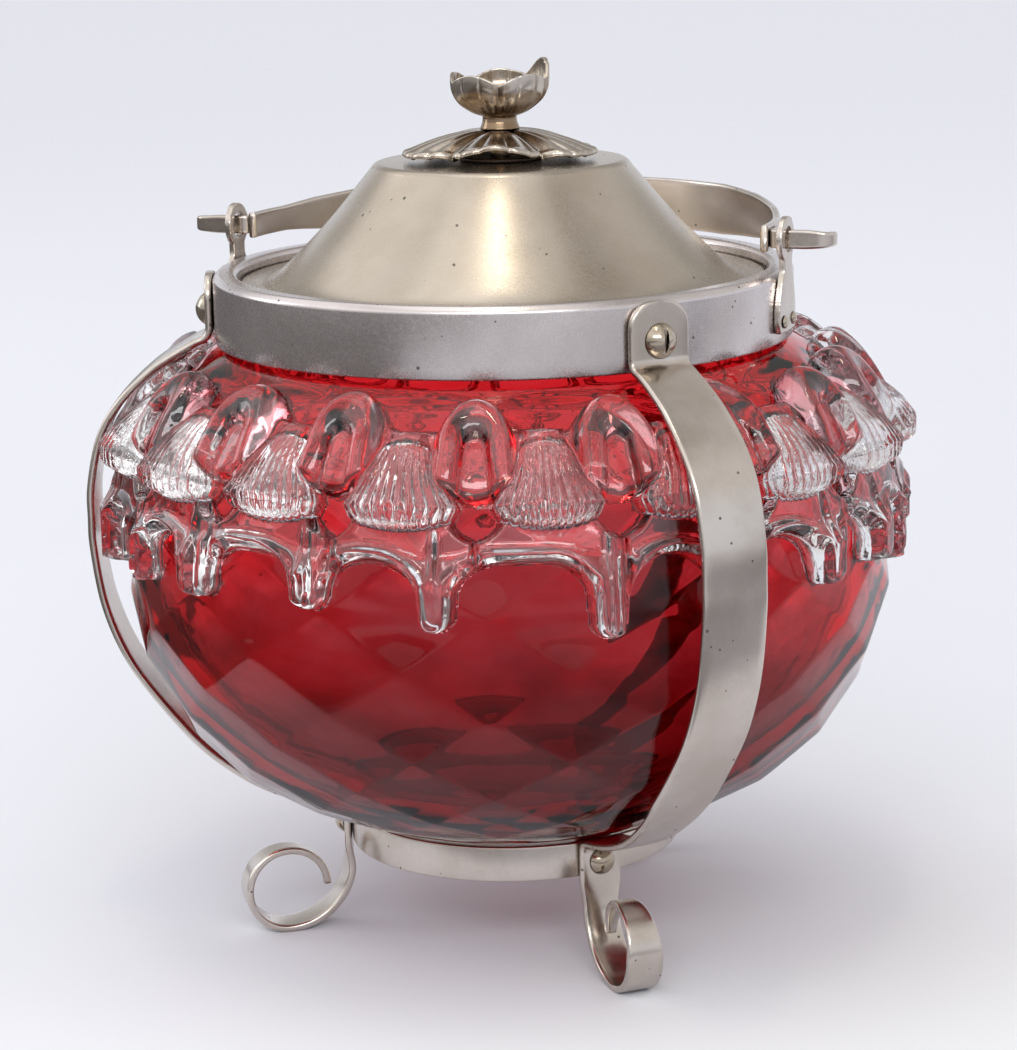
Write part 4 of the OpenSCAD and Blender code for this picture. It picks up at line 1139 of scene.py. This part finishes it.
def make_floor():
    """A wide pale cloth, which reflections find darker in front of the jar and beside it as painted
    shade, and the camera sees paler near it as painted light.
    """
    material, tree, output = new_material("pale_cloth")
    point = in_millimetres(tree)
    ahead = reach(tree, point, FRONT)
    side = reach(tree, point, RIGHT)
    near = reach(tree, point, FRONT_RIGHT)
    tone = ramp(tree, noise(tree, point, 0.004, 3.0, 0.5, 0.8), 0.3, 0.7)
    cloth = mixed(tree, tone, CLOTH, CLOTH_PALE)
    # Painted light: for the camera, the cloth towards the jar's front and right is paler, lifting the
    # jar's shade and shadow there.
    seen_with_painted_light = mixed(tree, ramp(tree, near, -60.0, 110.0), cloth, CLOTH_PAINTED_LIGHT_NEAR)
    seen_with_painted_light = mixed(tree, ramp(tree, ahead, -250.0, -900.0), seen_with_painted_light, CLOTH_FAR)
    # Painted shade that only reflections and bounced light find: darker cloth far to the front right,
    # a painted shadow in a strip in front of the jar, and dark cloth on the left.
    reflected_with_painted_shade = mixed(tree, ramp(tree, near, 150.0, 450.0), cloth, PAINTED_SHADE_RIGHT)
    strip = maths(tree, "MULTIPLY", ramp(tree, ahead, 95.0, 130.0), ramp(tree, ahead, 420.0, 330.0))
    reflected_with_painted_shade = mixed(tree, strip, reflected_with_painted_shade, PAINTED_SHADOW_FRONT)
    left = maths(tree, "ADD", side, ramp(tree, ahead, 250.0, 600.0, 0.0, 300.0))
    reflected_with_painted_shade = mixed(tree, ramp(tree, left, -150.0, -180.0), reflected_with_painted_shade, PAINTED_SHADE_LEFT)
    colour = mixed(tree, add_node(tree, "LightPath").outputs["Is Camera Ray"], reflected_with_painted_shade, seen_with_painted_light)
    shader = add_node(tree, "BsdfPrincipled", {
        "Base Color": colour, "Roughness": 0.9, "Specular IOR Level": 0.1})
    tree.links.new(shader.outputs[0], output.inputs["Surface"])
    corners = np.array([(-1, -1, 0), (1, -1, 0), (1, 1, 0), (-1, 1, 0)])
    floor = mesh_object("floor", corners * floor_half, [(0, 1, 2, 3)])
    floor.data.materials.append(material)


def make_world():
    """A pale room, dim on the front left, darker overhead and high up at the back."""
    world = bpy.data.worlds.new("room")
    bpy.context.scene.world = world
    world.use_nodes = True
    tree = world.node_tree
    tree.nodes.clear()
    direction = add_node(tree, "TexCoord").outputs["Generated"]
    height = add_node(tree, "SeparateXYZ", {0: direction}).outputs[2]
    front_left = reach(tree, direction, FRONT_LEFT)
    back = reach(tree, direction, BACK)
    colour = mixed(tree, ramp(tree, front_left, 0.2, 0.8), ROOM_WALL, ROOM_DIM)
    colour = mixed(tree, ramp(tree, height, 0.15, 0.55), colour, ROOM_HIGH)
    colour = mixed(tree, ramp(tree, height, 0.72, 0.93), colour, ROOM_TOP)
    high_back = maths(tree, "MULTIPLY", ramp(tree, back, 0.4, 0.9), ramp(tree, height, 0.15, 0.45))
    colour = mixed(tree, high_back, colour, ROOM_BACK)
    colour = mixed(tree, add_node(tree, "LightPath").outputs["Is Camera Ray"], colour, ROOM_SEEN)
    background = add_node(tree, "Background", {"Color": colour, "Strength": 1.0})
    output = add_node(tree, "OutputWorld")
    tree.links.new(background.outputs[0], output.inputs["Surface"])


def make_light(name, kind, place_at, target, power, colour, size=(1, 1), spread=0):
    """A lamp that looks at a target; a sun has only a direction and a spread."""
    lamp = bpy.data.lights.new(name, kind)
    if kind == "AREA":
        lamp.shape = "RECTANGLE"
        lamp.size, lamp.size_y = size
    else:
        lamp.angle = math.radians(spread)
    lamp.energy = power
    lamp.color = colour
    obj = linked(name, lamp)
    obj.location = place_at
    aim = Vector(target) - Vector(place_at)
    obj.rotation_mode = "QUATERNION"
    obj.rotation_quaternion = aim.to_track_quat("-Z", "Y")


def make_lights():
    """Wide daylight, two windows, a skylight and a warm lamp over the lid."""
    middle = (0, 0, 0.09)
    daylight = (0.96, 0.97, 1.0)
    window = (0.95, 0.97, 1.0)
    sky = (0.97, 0.98, 1.0)
    warm = (1.0, 0.88, 0.68)
    make_light("daylight", "SUN", (-0.6, -0.72, 1.15), middle, 1.25, daylight, spread=120)
    make_light("window", "AREA", (-1.19, -0.12, 0.5), middle, 1.6, window, size=(0.4, 0.6))
    make_light("front_window", "AREA", (0.376, -0.98, 0.69), middle, 3.6, sky, size=(0.9, 0.22))
    make_light("skylight", "AREA", (-0.25, -0.1, 1.4), middle, 0.9, sky, size=(0.8, 0.6))
    make_light("lamp", "AREA", (0.085, -0.325, 1.29), (0, 0, 0.14), 1.0, warm, size=(0.04, 0.40))


make_camera()
make_bowl()
make_frill()
make_collar()
make_base_ring()
for leg in range(3):
    make_strap_leg(leg)
make_fasteners()
make_ears()
make_bail_band()
for side in SIDES:
    make_bail_hook(side)
make_lid()
make_rosette()
make_flower()
make_floor()
make_world()
make_lights()

scene = bpy.context.scene
scene.view_settings.view_transform = "Standard"
scene.cycles.max_bounces = 32
scene.cycles.transmission_bounces = 28
scene.cycles.transparent_max_bounces = 32
